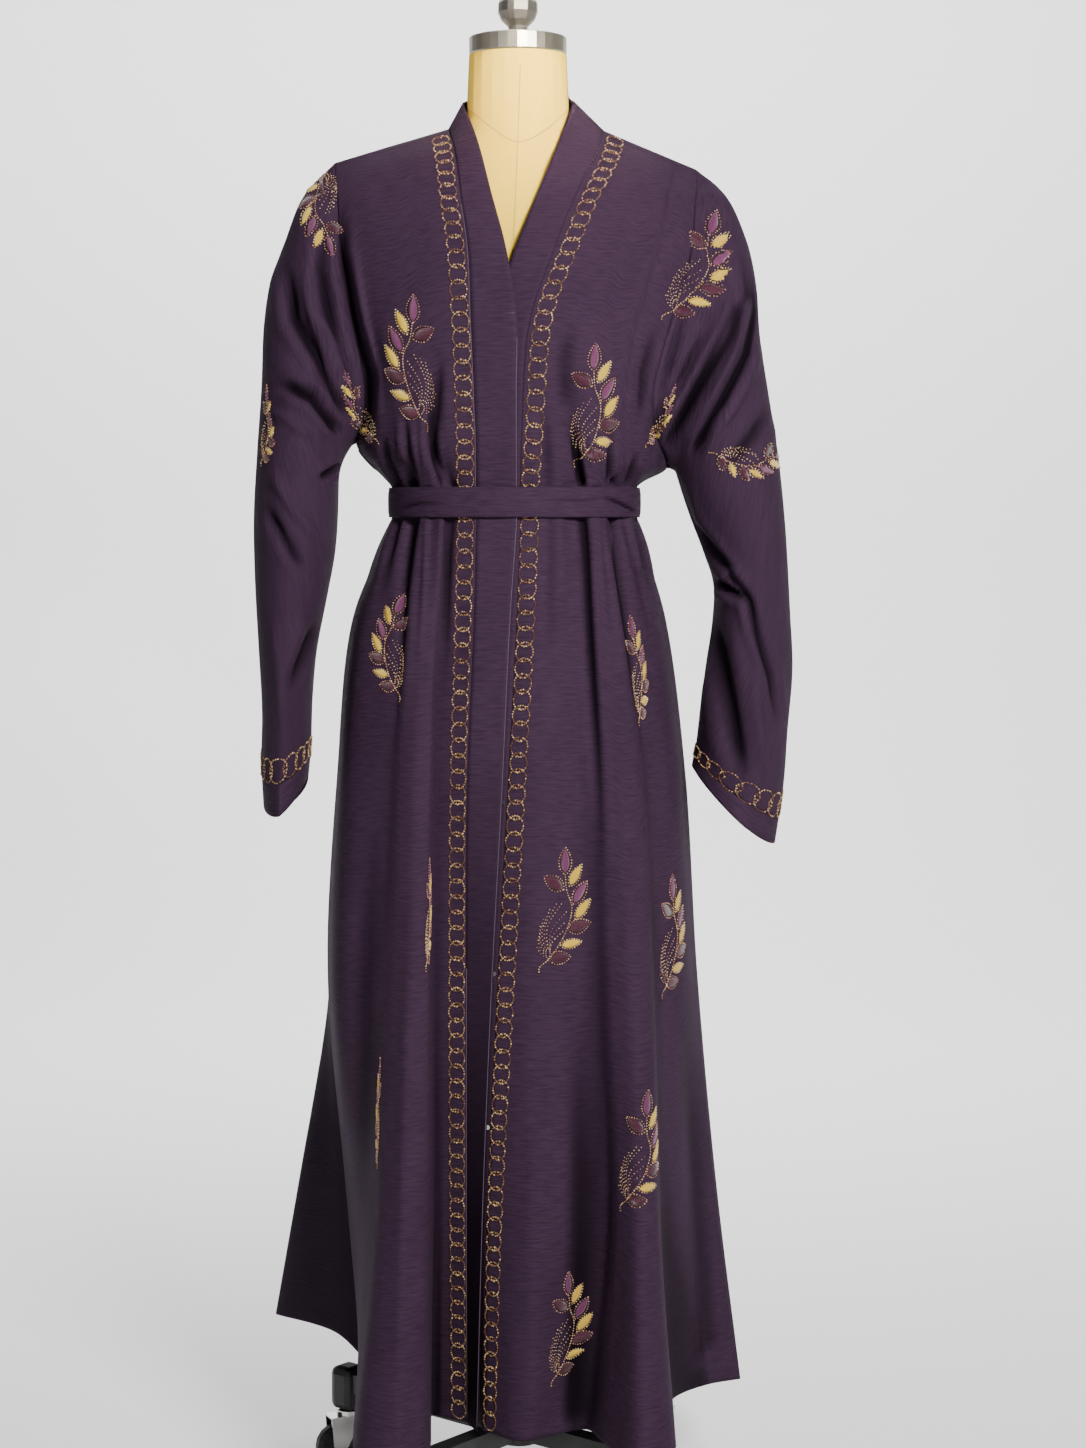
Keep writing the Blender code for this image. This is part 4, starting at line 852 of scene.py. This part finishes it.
class Stitching:  # many small closed solids on the cloth, each with its tone
    def __init__(self, name):
        self.name = name
        self.points = []
        self.faces = []
        self.tones = []
        self.marks = []

    def add(self, points, faces, tone, marks=None):
        first = len(self.points)
        self.points += [place(point) for point in points]
        self.faces += [tuple(first + index for index in face) for face in faces]
        self.tones += [tone] * len(points)
        self.marks += marks or [(0.0, 0.0)] * len(points)

    def bead(self, spot, radius, tone):
        point, normal = spot
        turn = normal.to_track_quat("Z", "Y").to_matrix()
        wide = radius * chance.uniform(0.88, 1.12)
        middle = point + normal * wide * 0.6
        self.add([middle + turn @ Vector((p.x * wide, p.y * wide, p.z * wide * 0.8)) for p in beadPoints],
                 beadFaces, tone)

    def thread(self, spots, radius, tone, closed=False):
        count = len(spots)
        points = []
        for k, (point, normal) in enumerate(spots):
            before = spots[k - 1 if closed or k else 0][0]
            after = spots[(k + 1) % count if closed else min(k + 1, count - 1)][0]
            side = normal.cross(after - before).normalized() * radius
            points += [point + side, point + normal * radius * 1.4, point - side]
        faces = []
        for k in range(count if closed else count - 1):
            a, b = 3 * k, 3 * ((k + 1) % count)
            faces += [(a, b, b + 1, a + 1), (a + 1, b + 1, b + 2, a + 2), (a + 2, b + 2, b, a)]
        if not closed:
            faces += [(0, 1, 2), (3 * count - 1, 3 * count - 2, 3 * count - 3)]
        self.add(points, faces, tone)

    def leaf(self, find, base, tip, width, height, tone, foot=0.0):
        lengthwise, crosswise = leafSteps
        axis = tip - base
        side = Vector((axis.y, -axis.x)).normalized()
        tops, feet, marks = [], [], []
        for i in range(lengthwise):
            t = i / (lengthwise - 1)
            half = 0.12 + width / 2 * leafHalf(t)
            for j in range(crosswise):
                s = 2 * j / (crosswise - 1) - 1
                point, normal = find(base + axis * t + side * half * s)
                rise = height * (1 - s * s) * math.sin(math.pi * t) ** 0.6
                tops.append(point + normal * (foot + 0.12 + rise))
                feet.append(point - normal * 0.15)
                marks.append((half * s, axis.length * t))
        last = lengthwise * crosswise
        faces = []
        for i in range(lengthwise - 1):
            for j in range(crosswise - 1):
                a = i * crosswise + j
                faces += [(a, a + 1, a + crosswise + 1, a + crosswise),
                          (last + a, last + a + crosswise, last + a + crosswise + 1, last + a + 1)]
        rim = list(range(crosswise)) + [i * crosswise + crosswise - 1 for i in range(1, lengthwise)]
        rim += [(lengthwise - 1) * crosswise + j for j in range(crosswise - 2, -1, -1)]
        rim += [i * crosswise for i in range(lengthwise - 2, 0, -1)]
        faces += [(a, last + a, last + b, b) for a, b in zip(rim, rim[1:] + rim[:1])]
        self.add(tops + feet, faces, tone, marks + marks)

    def build(self, material):
        mesh = bpy.data.meshes.new(self.name)
        mesh.from_pydata([tuple(point) for point in self.points], [], self.faces)
        tone = mesh.attributes.new("tone", "FLOAT", "POINT")
        tone.data.foreach_set("value", self.tones)
        layer = mesh.uv_layers.new(name="satin")
        for loop in mesh.loops:
            layer.data[loop.index].uv = self.marks[loop.vertex_index]
        build = bmesh.new()
        build.from_mesh(mesh)
        bmesh.ops.recalc_face_normals(build, faces=build.faces)
        build.to_mesh(mesh)
        build.free()
        for face in mesh.polygons:
            face.use_smooth = True
        item = addMesh(self.name, mesh)
        item.data.materials.append(material)
        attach(item, rootBody)
        print("  ", self.name, len(mesh.polygons), "faces")
        return item


chainBeads = Stitching("chainBeads")
chainThread = Stitching("chainThread")
sprigBeads = Stitching("sprigBeads")
roseBeads = Stitching("roseBeads")
sprigThread = Stitching("sprigThread")
leaves = {"gold": Stitching("goldLeaves"), "rose": Stitching("roseLeaves"), "wine": Stitching("wineLeaves")}
leafGround = Stitching("leafGround")

chain = {"pitch": 16.6, "wide": 18.4, "tall": 21.0, "bead": 0.98, "beads": 23, "thread": 0.42, "stray": 0.25,
         "beadsKept": 0.95, "dotsKept": 0.88, "dots": ((-1.6, -1.0), (1.5, -1.2), (-1.7, 1.5), (1.7, 1.2))}


def chainRing(find, middle, heading, size=1.0):  # one ring of the chain, with its beads and its thread
    side = Vector((heading.y, -heading.x))
    halfWide, halfTall = chain["wide"] * size / 2, chain["tall"] * size / 2
    start = chance.uniform(0, 0.3)
    loop = []
    for k in range(chain["beads"]):
        turn = 2 * math.pi * (k + start) / chain["beads"]
        stray = Vector([chance.uniform(-chain["stray"], chain["stray"]) for _ in range(2)])
        spot = find(middle + heading * halfTall * math.sin(turn) + side * halfWide * math.cos(turn) + stray)
        loop.append(spot)
        if chance.random() < chain["beadsKept"]:
            chainBeads.bead(spot, chain["bead"], chance.random())
    chainThread.thread(loop, chain["thread"], chance.random(), True)
    for k, lift in chain["dots"]:  # where two rings overlap
        if chance.random() < chain["dotsKept"]:
            lens = middle + heading * (chain["pitch"] / 2 + lift) * size + side * k * size
            chainBeads.bead(find(lens), chain["bead"] * 0.92, chance.random())


def chainAlong(cloth, seamColumn, offsets):  # rings down a front, so many mm from the band's seam
    rows = [row[seamColumn] for row in cloth.grid]
    heights = [point.z for point in rows]
    lengths = cloth.down[seamColumn]
    side = 1 if seamColumn == 0 else -1

    def spotAt(gone, toSide):  # on the cloth, from the hem up and from the seam out
        row = locate(lengths, lengths[-1] - gone if cloth.up < 0 else gone)
        line = cloth.across[int(round(row))]
        return cloth.at(row, locate(line, toSide if seamColumn == 0 else line[-1] - toSide))

    gone = chain["tall"] / 2 + 3.0
    while gone < lengths[-1] - chain["tall"] / 2 - 2.0:
        z = heights[int(round(locate(lengths, gone)))]
        k = max(0, min(bisect.bisect_right([entry[0] for entry in offsets], z) - 1, len(offsets) - 2))
        (lowZ, lowSide), (highZ, highSide) = offsets[k], offsets[k + 1]
        middle = lowSide + (highSide - lowSide) * min(1.0, max(0.0, (z - lowZ) / (highZ - lowZ)))
        chainRing(lambda spot: spotAt(gone + spot.y, middle + spot.x * side), Vector((0, 0)), Vector((0, 1)))
        gone += chain["pitch"]


# height against the distance from the seam to the middle of the chain
chainAlong(frontRight, len(frontRight.grid[0]) - 1,
           [(120, 10.3), (599, 10.3), (812, 10.5), (981, 12), (1149, 12), (1305, 11), (1367, 13),
            (1439, 13.5), (1530, 11)])
chainAlong(frontLeft, 0,
           [(120, 10.2), (500, 10.2), (812, 10.5), (1107, 10), (1149, 11), (1211, 14), (1294, 14.5), (1346, 14),
            (1398, 16), (1459, 17), (1530, 14)])

cuffRings = 17
cuffRise = 13.0  # from the cuff's seam to the middle of a ring
for cloth in (sleeveRight, sleeveLeft):  # whole rings round each cuff, just above its seam
    lastRow = len(cloth.grid) - 1
    around = cloth.across[lastRow]
    size = around[-1] / cuffRings / chain["pitch"]
    for k in range(cuffRings):
        anchor = cloth.walk(lastRow, 0.001, 0.0, 0.0)
        middle = Vector((k * around[-1] / cuffRings, cuffRise))
        chainRing(lambda spot: cloth.at(*cloth.walk(*anchor, spot.x, spot.y)), middle, Vector((1, 0)), size)

# one sprig, in mm from its middle: u to the right, v up
sprigStem = [(-1, 32), (0.1, 15), (5.7, -2.7), (-2.4, -30), (-20.8, -57), (-31, -66), (-31, -72)]
sprigLeaves = [  # kind, base, tip, width
    ("rose", (-1, 32), (-0.2, 61.5), 11.8),
    ("wine", (-3.1, 16.6), (-24, 31), 12.8),
    ("gold", (3.3, 19.8), (18.2, 42.3), 9.6),
    ("rose", (7.3, 0.5), (23.9, 24.6), 11.8),
    ("gold", (8.9, -15.5), (27.8, 5.4), 9.6),
    ("wine", (0.9, -26.8), (27.4, -19.5), 12.8),
    ("gold", (-7.9, -42.8), (16.9, -39.6), 8.6),
    ("wine", (-20.8, -56.4), (3.3, -54.8), 11.8),
]
sprigFan = {"root": (-20, -56), "bow": 0.16,
            "tips": [(-33, -44), (-32, -33), (-29, -22), (-25, -12), (-18.5, -4), (-11, 2), (-4, 4), (0.5, -6),
                     (-1, -17), (-5, -28)]}
beading = {"stem": (2.8, 0.8), "fan": (3.8, 0.66), "rim": 2.9}  # pitch and radius
leafLook = {"gold": (0.96, 1.4, 0.88), "rose": (0.74, 1.1, 0.84), "wine": (0.86, 1.1, 0.84)}  # fill, rise, bead


def beadsAlong(find, line, pitch, radius, batch):
    points = [Vector(p) for p in line]
    left = 0.0
    for a, b in zip(points, points[1:]):
        length = (b - a).length
        while left < length:
            spot = a.lerp(b, left / length)
            batch.bead(find(spot), radius, chance.random())
            left += pitch * chance.uniform(0.9, 1.15)
        left -= length


def curved(line, steps=5):  # a smooth line through points in the plane
    fine = smoothLine([Vector((x, y, 0.0)) for x, y in line], [steps] * (len(line) - 1))
    return [Vector((p.x, p.y)) for p in fine]


def inFront(cloths, x, z):  # the nearest point of several cloths, seen from the front
    return min((cloth.at(*cloth.find(x, z)) for cloth in cloths), key=lambda found: found[0].y)


def sprig(cloth, at, size=1.0, turn=0.0, narrow=1.0, mirrored=False, behind=False, seen=()):
    c, s = math.cos(math.radians(turn)), math.sin(math.radians(turn))
    anchor = None if seen else cloth.find(*at, behind)

    def find(spot):
        u, v = (-spot.x if mirrored else spot.x) * size * narrow, spot.y * size
        toRight, upward = u * c - v * s, u * s + v * c
        if anchor is None:  # it runs over a seam, so it lies on what is seen there
            x, z = at[0] + toRight, at[1] + upward
            return inFront([item for item in (cloth, *seen) if item.covers(x, z)] or [cloth], x, z)
        return cloth.at(*cloth.walk(*anchor, toRight, upward))

    stem = curved(sprigStem)
    sprigThread.thread([find(p) for p in stem], 0.4, 0.3)
    pitch, radius = beading["stem"]
    beadsAlong(find, stem, pitch / size, radius, sprigBeads)
    pitch, radius = beading["fan"]
    root = Vector(sprigFan["root"])
    for end in (Vector(tip) for tip in sprigFan["tips"]):
        bow = (root + end) / 2 + Vector((-(end.y - root.y), end.x - root.x)) * sprigFan["bow"]
        line = curved([tuple(root), tuple(bow), tuple(end)], 6)
        beadsAlong(find, line[2:], pitch / size, radius, roseBeads if chance.random() < 0.3 else sprigBeads)
    for kind, base, tip, width in sprigLeaves:
        fill, rise, bead = leafLook[kind]
        base, tip = Vector(base), Vector(tip)
        leafGround.leaf(find, base, tip, width * 1.16, 0.25, chance.random())
        leaves[kind].leaf(find, base.lerp(tip, 0.07), base.lerp(tip, 0.94), width * fill, rise,
                          chance.random(), 0.1)
        axis = tip - base
        side = Vector((axis.y, -axis.x)).normalized()
        outline = [(k / 16, width * 0.6 * leafHalf(k / 16)) for k in range(17)]
        rim = [base + axis * t + side * half for t, half in outline]
        rim += [base + axis * t - side * half for t, half in outline[::-1]]
        beadsAlong(find, rim, beading["rim"] / size, bead, sprigBeads if kind == "gold" else roseBeads)


sprig(frontRight, (-114, 1280), 1.06, turn=-12, mirrored=True)
sprig(frontRight, (-136, 980), 0.86, turn=-6, mirrored=True)
sprig(frontRight, (-93, 697), 0.9, narrow=0.2)
sprig(frontRight, (-148, 482), 0.9, narrow=0.2, mirrored=True)
sprig(frontLeft, (82, 1231), turn=5)
sprig(frontLeft, (129, 952), 0.9, narrow=0.5)
sprig(frontLeft, (52, 703))
sprig(frontLeft, (169, 666))
sprig(frontLeft, (136, 446), turn=-4)
sprig(frontLeft, (56, 251), 0.93, turn=6)
sprig(sleeveRight, (-210, 1432), 0.8, turn=196, seen=[frontRight])
sprig(sleeveRight, (-266, 1210), 0.62, turn=12)
sprig(sleeveLeft, (198, 1378), 0.98, turn=-14, seen=[frontLeft])
sprig(sleeveLeft, (254, 1170), 0.66, turn=-78, seen=[sleeveLeft])
sprig(sleeveRight, (-172, 1228), 0.66, turn=16, narrow=0.6, mirrored=True, seen=[frontRight])
sprig(frontLeft, (156, 1220), 0.55, turn=-20, narrow=0.4, seen=[sleeveLeft])
sprig(back, (-105, 1300), mirrored=True, behind=True)
sprig(back, (96, 1250), behind=True)
sprig(back, (-80, 985), 0.9, behind=True)
sprig(back, (120, 930), 0.95, mirrored=True, behind=True)
sprig(back, (20, 720), behind=True)
sprig(back, (-150, 640), turn=6, behind=True)
sprig(back, (150, 500), 0.95, turn=-6, behind=True)
sprig(back, (-60, 400), mirrored=True, behind=True)
sprig(back, (60, 240), 0.95, behind=True)

edgeHighlightsAndTack = Stitching("bandEdgeHighlightsAndTack")  # painted highlights along the bands' edges, as thin pale cords, and one tack stitch


def highlightCord(cloth, column, inset, lowZ, highZ, radius):  # a thin pale cord along a column, from one height to another, as a painted edge highlight
    line = []
    for i, row in enumerate(cloth.grid):
        if lowZ <= row[column].z <= highZ:
            target = inset if column == 0 else cloth.across[i][-1] - inset
            line.append(cloth.at(i, locate(cloth.across[i], target)))
    edgeHighlightsAndTack.thread(line, radius, 0.5)


tackSpots = [bandRight.at(*bandRight.find(x, 1322)) for x in (-14, -8, -2)]
edgeHighlightsAndTack.thread(tackSpots, 0.4, 0.9)
highlightCord(bandRight, -1, 0.9, 130, 1300, 0.45)
highlightCord(bandRight, 0, 1.0, 130, 640, 0.42)
highlightCord(frontRight, -1, 0.9, 1120, 1440, 0.35)

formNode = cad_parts["form_body"]
formMesh = bmesh.new()
formMesh.from_mesh(formNode.data)
formMesh.transform(formNode.matrix_world)
formTree = BVHTree.FromBMesh(formMesh)
formMesh.free()
formSeams = Stitching("formSeams")
for line in ([(3, 1588), (0, 1501), (-4, 1400)],
             [(-64, 1556), (-50, 1544), (-29, 1524), (0, 1507), (29, 1520), (58, 1550), (66, 1558)]):
    seamSpots = []
    for spot in curved(line, 14):
        hit, normal = formTree.ray_cast(place(Vector((spot.x, -900.0, spot.y))), Vector((0, 1, 0)))[:2]
        if hit is not None:
            seamSpots.append(((hit - axisPlace) / mm, normal))
    formSeams.thread(seamSpots, 0.45, 0.5)


print("finishes")


class Socket:  # one value or colour in a material, with sums written as Python
    def __init__(self, finish, link):
        self.finish = finish
        self.link = link

    def sum(self, operation, other, swapped=False):
        first, second = (other, self) if swapped else (self, other)
        return self.finish.node("Math", {"operation": operation}, {0: first, 1: second})

    def __add__(self, other):
        return self.sum("ADD", other)

    def __radd__(self, other):
        return self.sum("ADD", other, True)

    def __sub__(self, other):
        return self.sum("SUBTRACT", other)

    def __rsub__(self, other):
        return self.sum("SUBTRACT", other, True)

    def __mul__(self, other):
        return self.sum("MULTIPLY", other)

    def __rmul__(self, other):
        return self.sum("MULTIPLY", other, True)

    def __pow__(self, other):
        return self.sum("POWER", other)


class Finish:
    def __init__(self, name, colour, roughness, metallic=0.0, **settings):
        self.material = bpy.data.materials.new(name)
        self.material.use_nodes = True
        self.tree = self.material.node_tree
        self.shader = self.tree.nodes["Principled BSDF"]
        self.give("Base Color", (*colour, 1.0))
        self.give("Roughness", roughness)
        self.give("Metallic", metallic)
        for key, value in settings.items():
            self.give(key, value)

    def node(self, kind, settings=None, values=None, out=0):
        item = self.tree.nodes.new("ShaderNode" + kind)
        for key, value in (settings or {}).items():
            if key == "stops":
                while len(item.color_ramp.elements) < len(value):
                    item.color_ramp.elements.new(1.0)
                for stop, (spot, colour) in zip(item.color_ramp.elements, value):
                    stop.position = spot
                    stop.color = (*colour, 1.0)
            else:
                setattr(item, key, value)
        for key, value in (values or {}).items():
            self.feed(item.inputs[key], value)
        return Socket(self, item.outputs[out])

    def feed(self, target, value):
        if isinstance(value, Socket):
            self.tree.links.new(value.link, target)
        else:
            target.default_value = value

    def give(self, name, value):
        self.feed(self.shader.inputs[name], value)

    def clothMap(self, scale):
        spot = self.node("UVMap", {"uv_map": "cut"})
        return self.node("Mapping", None, {"Vector": spot, "Scale": (*scale, 1.0)})

    def noise(self, vector, scale, detail=2.0, roughness=0.5):
        return self.node("TexNoise", None, {"Vector": vector, "Scale": scale, "Detail": detail,
                                            "Roughness": roughness})

    def mix(self, share, a, b):
        a, b = [(*each, 1.0) if isinstance(each, tuple) else each for each in (a, b)]
        return self.node("Mix", {"data_type": "RGBA"}, {0: share, 6: a, 7: b}, out=2)

    def bump(self, height, distance, strength=1.0, normal=None):
        values = {"Height": height, "Distance": distance, "Strength": strength}
        if normal:
            values["Normal"] = normal
        return self.node("Bump", None, values)


def crepeFinish(name):
    # tones: the crepe's colour, the painted shade of its crinkle furrows, and the painted shade of deep folds
    tone = {"lit": (0.054, 0.0285, 0.057), "deep": (0.020, 0.009, 0.023), "shade": (0.005, 0.002, 0.006)}
    gloss = {"Sheen Weight": 0.01, "Sheen Roughness": 0.5, "Sheen Tint": (0.85, 0.62, 0.85, 1.0),
             "Specular IOR Level": 0.07}
    finish = Finish(name, tone["lit"], 0.78, **gloss)
    slub = finish.noise(finish.clothMap((55.0, 420.0)), 1.0, 3.0, 0.6)
    fine = finish.noise(finish.clothMap((420.0, 1500.0)), 1.0, 1.0, 0.5)
    mottle = finish.noise(finish.clothMap((14.0, 10.0)), 1.0, 2.0, 0.5)
    # the crinkle's raised slubs are painted lighter and its furrows darker (painted shade), with a real mottle
    # of tone
    share = slub * 1.3 + mottle * 0.35 - 0.32
    fold = finish.node("Attribute", {"attribute_name": "fold"}, out=2)
    crinkleShadeAndMottle = finish.mix(share, tone["deep"], tone["lit"])
    # Base Color: painted shade from the fold attribute, darkest in the folds and the deep places
    finish.give("Base Color", finish.mix((fold * 1.6) ** 1.3, tone["shade"], crinkleShadeAndMottle))
    finish.give("Roughness", 0.68 + slub * 0.2)
    first = finish.bump(fine, 0.0002)
    finish.give("Normal", finish.bump(slub, 0.0012, 1.0, first))
    return finish.material


crepe = crepeFinish("crepe")
for item in sheets:
    item.data.materials.append(crepe)


def threadFinish(name, dark, light, roughness, metallic, skew=1.0):
    finish = Finish(name, dark, roughness, metallic)
    tone = finish.node("Attribute", {"attribute_name": "tone"}, out=2)
    finish.give("Base Color", finish.mix(tone ** skew, dark, light))
    return finish


def satinFinish(name, dark, light, slant):
    finish = Finish(name, dark, 0.36, **{"Sheen Weight": 0.3, "Sheen Roughness": 0.3})
    spot = finish.node("UVMap", {"uv_map": "satin"})
    turned = finish.node("Mapping", None, {"Vector": spot, "Rotation": (0.0, 0.0, math.radians(slant))})
    wave = finish.node("TexWave", {"wave_type": "BANDS", "bands_direction": "X"},
                       {"Vector": turned, "Scale": 0.75, "Distortion": 1.5, "Detail": 1.0, "Detail Scale": 1.5},
                       out=1)
    tone = finish.node("Attribute", {"attribute_name": "tone"}, out=2)
    finish.give("Base Color", finish.mix(wave * 0.75 + tone * 0.25, dark, light))
    finish.give("Normal", finish.bump(wave, 0.0003, 0.8))
    return finish


# chain beads: tone varies at random from bead to bead, skewed dark; the few bright ones are painted glints
chainBead = threadFinish("chainBead", (0.13, 0.052, 0.024), (1.0, 0.72, 0.34), 0.3, 0.55, 2.0)
goldBead = threadFinish("goldBead", (0.42, 0.22, 0.09), (1.0, 0.82, 0.46), 0.3, 0.45, 1.2)
goldThread = threadFinish("goldThread", (0.10, 0.036, 0.020), (0.24, 0.11, 0.05), 0.5, 0.3)
roseBead = threadFinish("roseBead", (0.22, 0.08, 0.06), (0.86, 0.52, 0.34), 0.3, 0.4, 1.2)
ground = Finish("leafGroundThread", (0.018, 0.005, 0.012), 0.8)
satin = {"gold": satinFinish("goldSatin", (0.62, 0.32, 0.02), (1.0, 0.76, 0.10), 52),
         "rose": satinFinish("roseSatin", (0.085, 0.014, 0.060), (0.24, 0.055, 0.165), -48),
         "wine": satinFinish("wineSatin", (0.030, 0.005, 0.016), (0.105, 0.018, 0.045), 50)}
chainBeads.build(chainBead.material)
chainThread.build(goldThread.material)
sprigBeads.build(goldBead.material)
roseBeads.build(roseBead.material)
sprigThread.build(goldThread.material)
leafGround.build(ground.material)
formSeams.build(Finish("linenSeam", (0.62, 0.38, 0.08), 0.9).material)
# the cord's pale colour is a painted highlight on the band edges; the tack stitch shares it
edgeHighlightsAndTack.build(Finish("edgeHighlightAndTackCord", (0.10, 0.07, 0.11), 0.6).material)
for kind, batch in leaves.items():
    batch.build(satin[kind].material)

linen = Finish("linen", (1.0, 0.67, 0.07), 0.85, **{"Specular IOR Level": 0.2})
chrome = Finish("polishedSteel", (0.62, 0.61, 0.60), 0.18, 1.0)
brushed = Finish("brushedSteel", (0.40, 0.38, 0.34), 0.36, 0.9)
blackPaint = Finish("blackPaint", (0.018, 0.018, 0.019), 0.42)
rubber = Finish("blackRubber", (0.012, 0.012, 0.013), 0.55)


def numbered(stem, count=4):
    return ["%s_%d" % (stem, n) for n in range(1, count + 1)]


def dress(names, finish):
    for name in names:
        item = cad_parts[name]
        item.data.materials.clear()
        item.data.materials.append(finish.material)


for name in ("form_body", "neck_cap", "neck_knob"):
    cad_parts[name].data.shade_smooth()
    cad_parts[name].data.set_sharp_from_angle(angle=math.radians(35))
dress(["form_body"], linen)
dress(["neck_cap", "neck_knob"], brushed)
dress(["base_plate", "hub"] + numbered("leg"), blackPaint)
dress(numbered("boot") + numbered("wheel"), rubber)
dress(["pole"] + numbered("race") + numbered("fork") + numbered("press_stud", 3), chrome)
dress(["belt_knot"], Finish("knotCrepe", (0.036, 0.018, 0.039), 0.8))

print("stage, light and camera")
studio = {"paper": (0.86, 0.86, 0.86), "depth": 3.2, "front": 4.5, "halfWidth": 6.0, "height": 5.0,
          "bend": 1.2, "bendSteps": 12}
profile = [(-studio["front"], 0.0), (studio["depth"], 0.0)]
for k in range(1, studio["bendSteps"] + 1):
    turn = math.radians(90 * k / studio["bendSteps"])
    profile.append((studio["depth"] + studio["bend"] * math.sin(turn), studio["bend"] * (1 - math.cos(turn))))
profile.append((studio["depth"] + studio["bend"], studio["height"]))
build = bmesh.new()
lines = [[build.verts.new((side * studio["halfWidth"], y, z)) for side in (-1, 1)] for y, z in profile]
for (a, b), (c, d) in zip(lines, lines[1:]):
    build.faces.new((a, b, d, c)).smooth = True
paperMesh = bpy.data.meshes.new("paperSweep")
build.to_mesh(paperMesh)
build.free()
paper = addMesh("paperSweep", paperMesh)
paper.data.materials.append(Finish("palePaper", studio["paper"], 0.95).material)

world = bpy.context.scene.world or bpy.data.worlds.new("studioWorld")
bpy.context.scene.world = world
world.use_nodes = True
sky = world.node_tree.nodes["Background"].inputs
sky["Color"].default_value = (0.80, 0.82, 0.85, 1.0)
sky["Strength"].default_value = 0.06


def softLight(name, spot, target, size, power, colour=(1.0, 1.0, 1.0)):
    data = bpy.data.lights.new(name, "AREA")
    data.shape = "RECTANGLE"
    data.size, data.size_y = size
    data.energy = power
    data.color = colour
    lamp = bpy.data.objects.new(name, data)
    bpy.context.scene.collection.objects.link(lamp)
    lamp.location = spot
    lamp.rotation_euler = (Vector(target) - Vector(spot)).to_track_quat("-Z", "Y").to_euler()
    return lamp


# place, target, size and power
softLight("keyLight", (0.80, -2.05, 1.95), (0, 0, 1.1), (0.55, 0.55), 96.0, (1.0, 0.97, 0.93))
softLight("fillLight", (-1.9, -2.4, 1.5), (0, 0, 1.0), (0.9, 1.5), 7.0)
softLight("topLight", (0.0, 0.5, 3.2), (0, 0.0, 1.3), (1.2, 1.0), 14.0)
softLight("backWallLight", (0.0, 2.0, 3.4), (0, 4.2, 0.1), (5.0, 0.8), 320.0)
neckLight = softLight("neckLight", (0.5, -1.6, 1.98), (0, 0, 1.58), (0.2, 0.2), 0.42, (1.0, 0.87, 0.62))
neckLight.data.spread = math.radians(10)

# as fitted to the photo: in metres and degrees, the focal length and the height in the photo's pixels
photo = {"distance": 3.0, "aside": 0.027, "height": 1.105, "pitch": 4.2, "focal": 2750.0, "rows": 1448.0}
camera = bpy.data.objects.new("photoCamera", bpy.data.cameras.new("photoCamera"))
bpy.context.scene.collection.objects.link(camera)
camera.data.sensor_fit = "AUTO"
camera.data.sensor_width = 36.0
camera.data.lens = camera.data.sensor_width * photo["focal"] / photo["rows"]
camera.data.clip_end = 50.0
camera.location = (axisPlace.x + photo["aside"], axisPlace.y - photo["distance"], photo["height"])
camera.rotation_euler = (math.radians(90.0 - photo["pitch"]), 0.0, 0.0)
bpy.context.scene.camera = camera
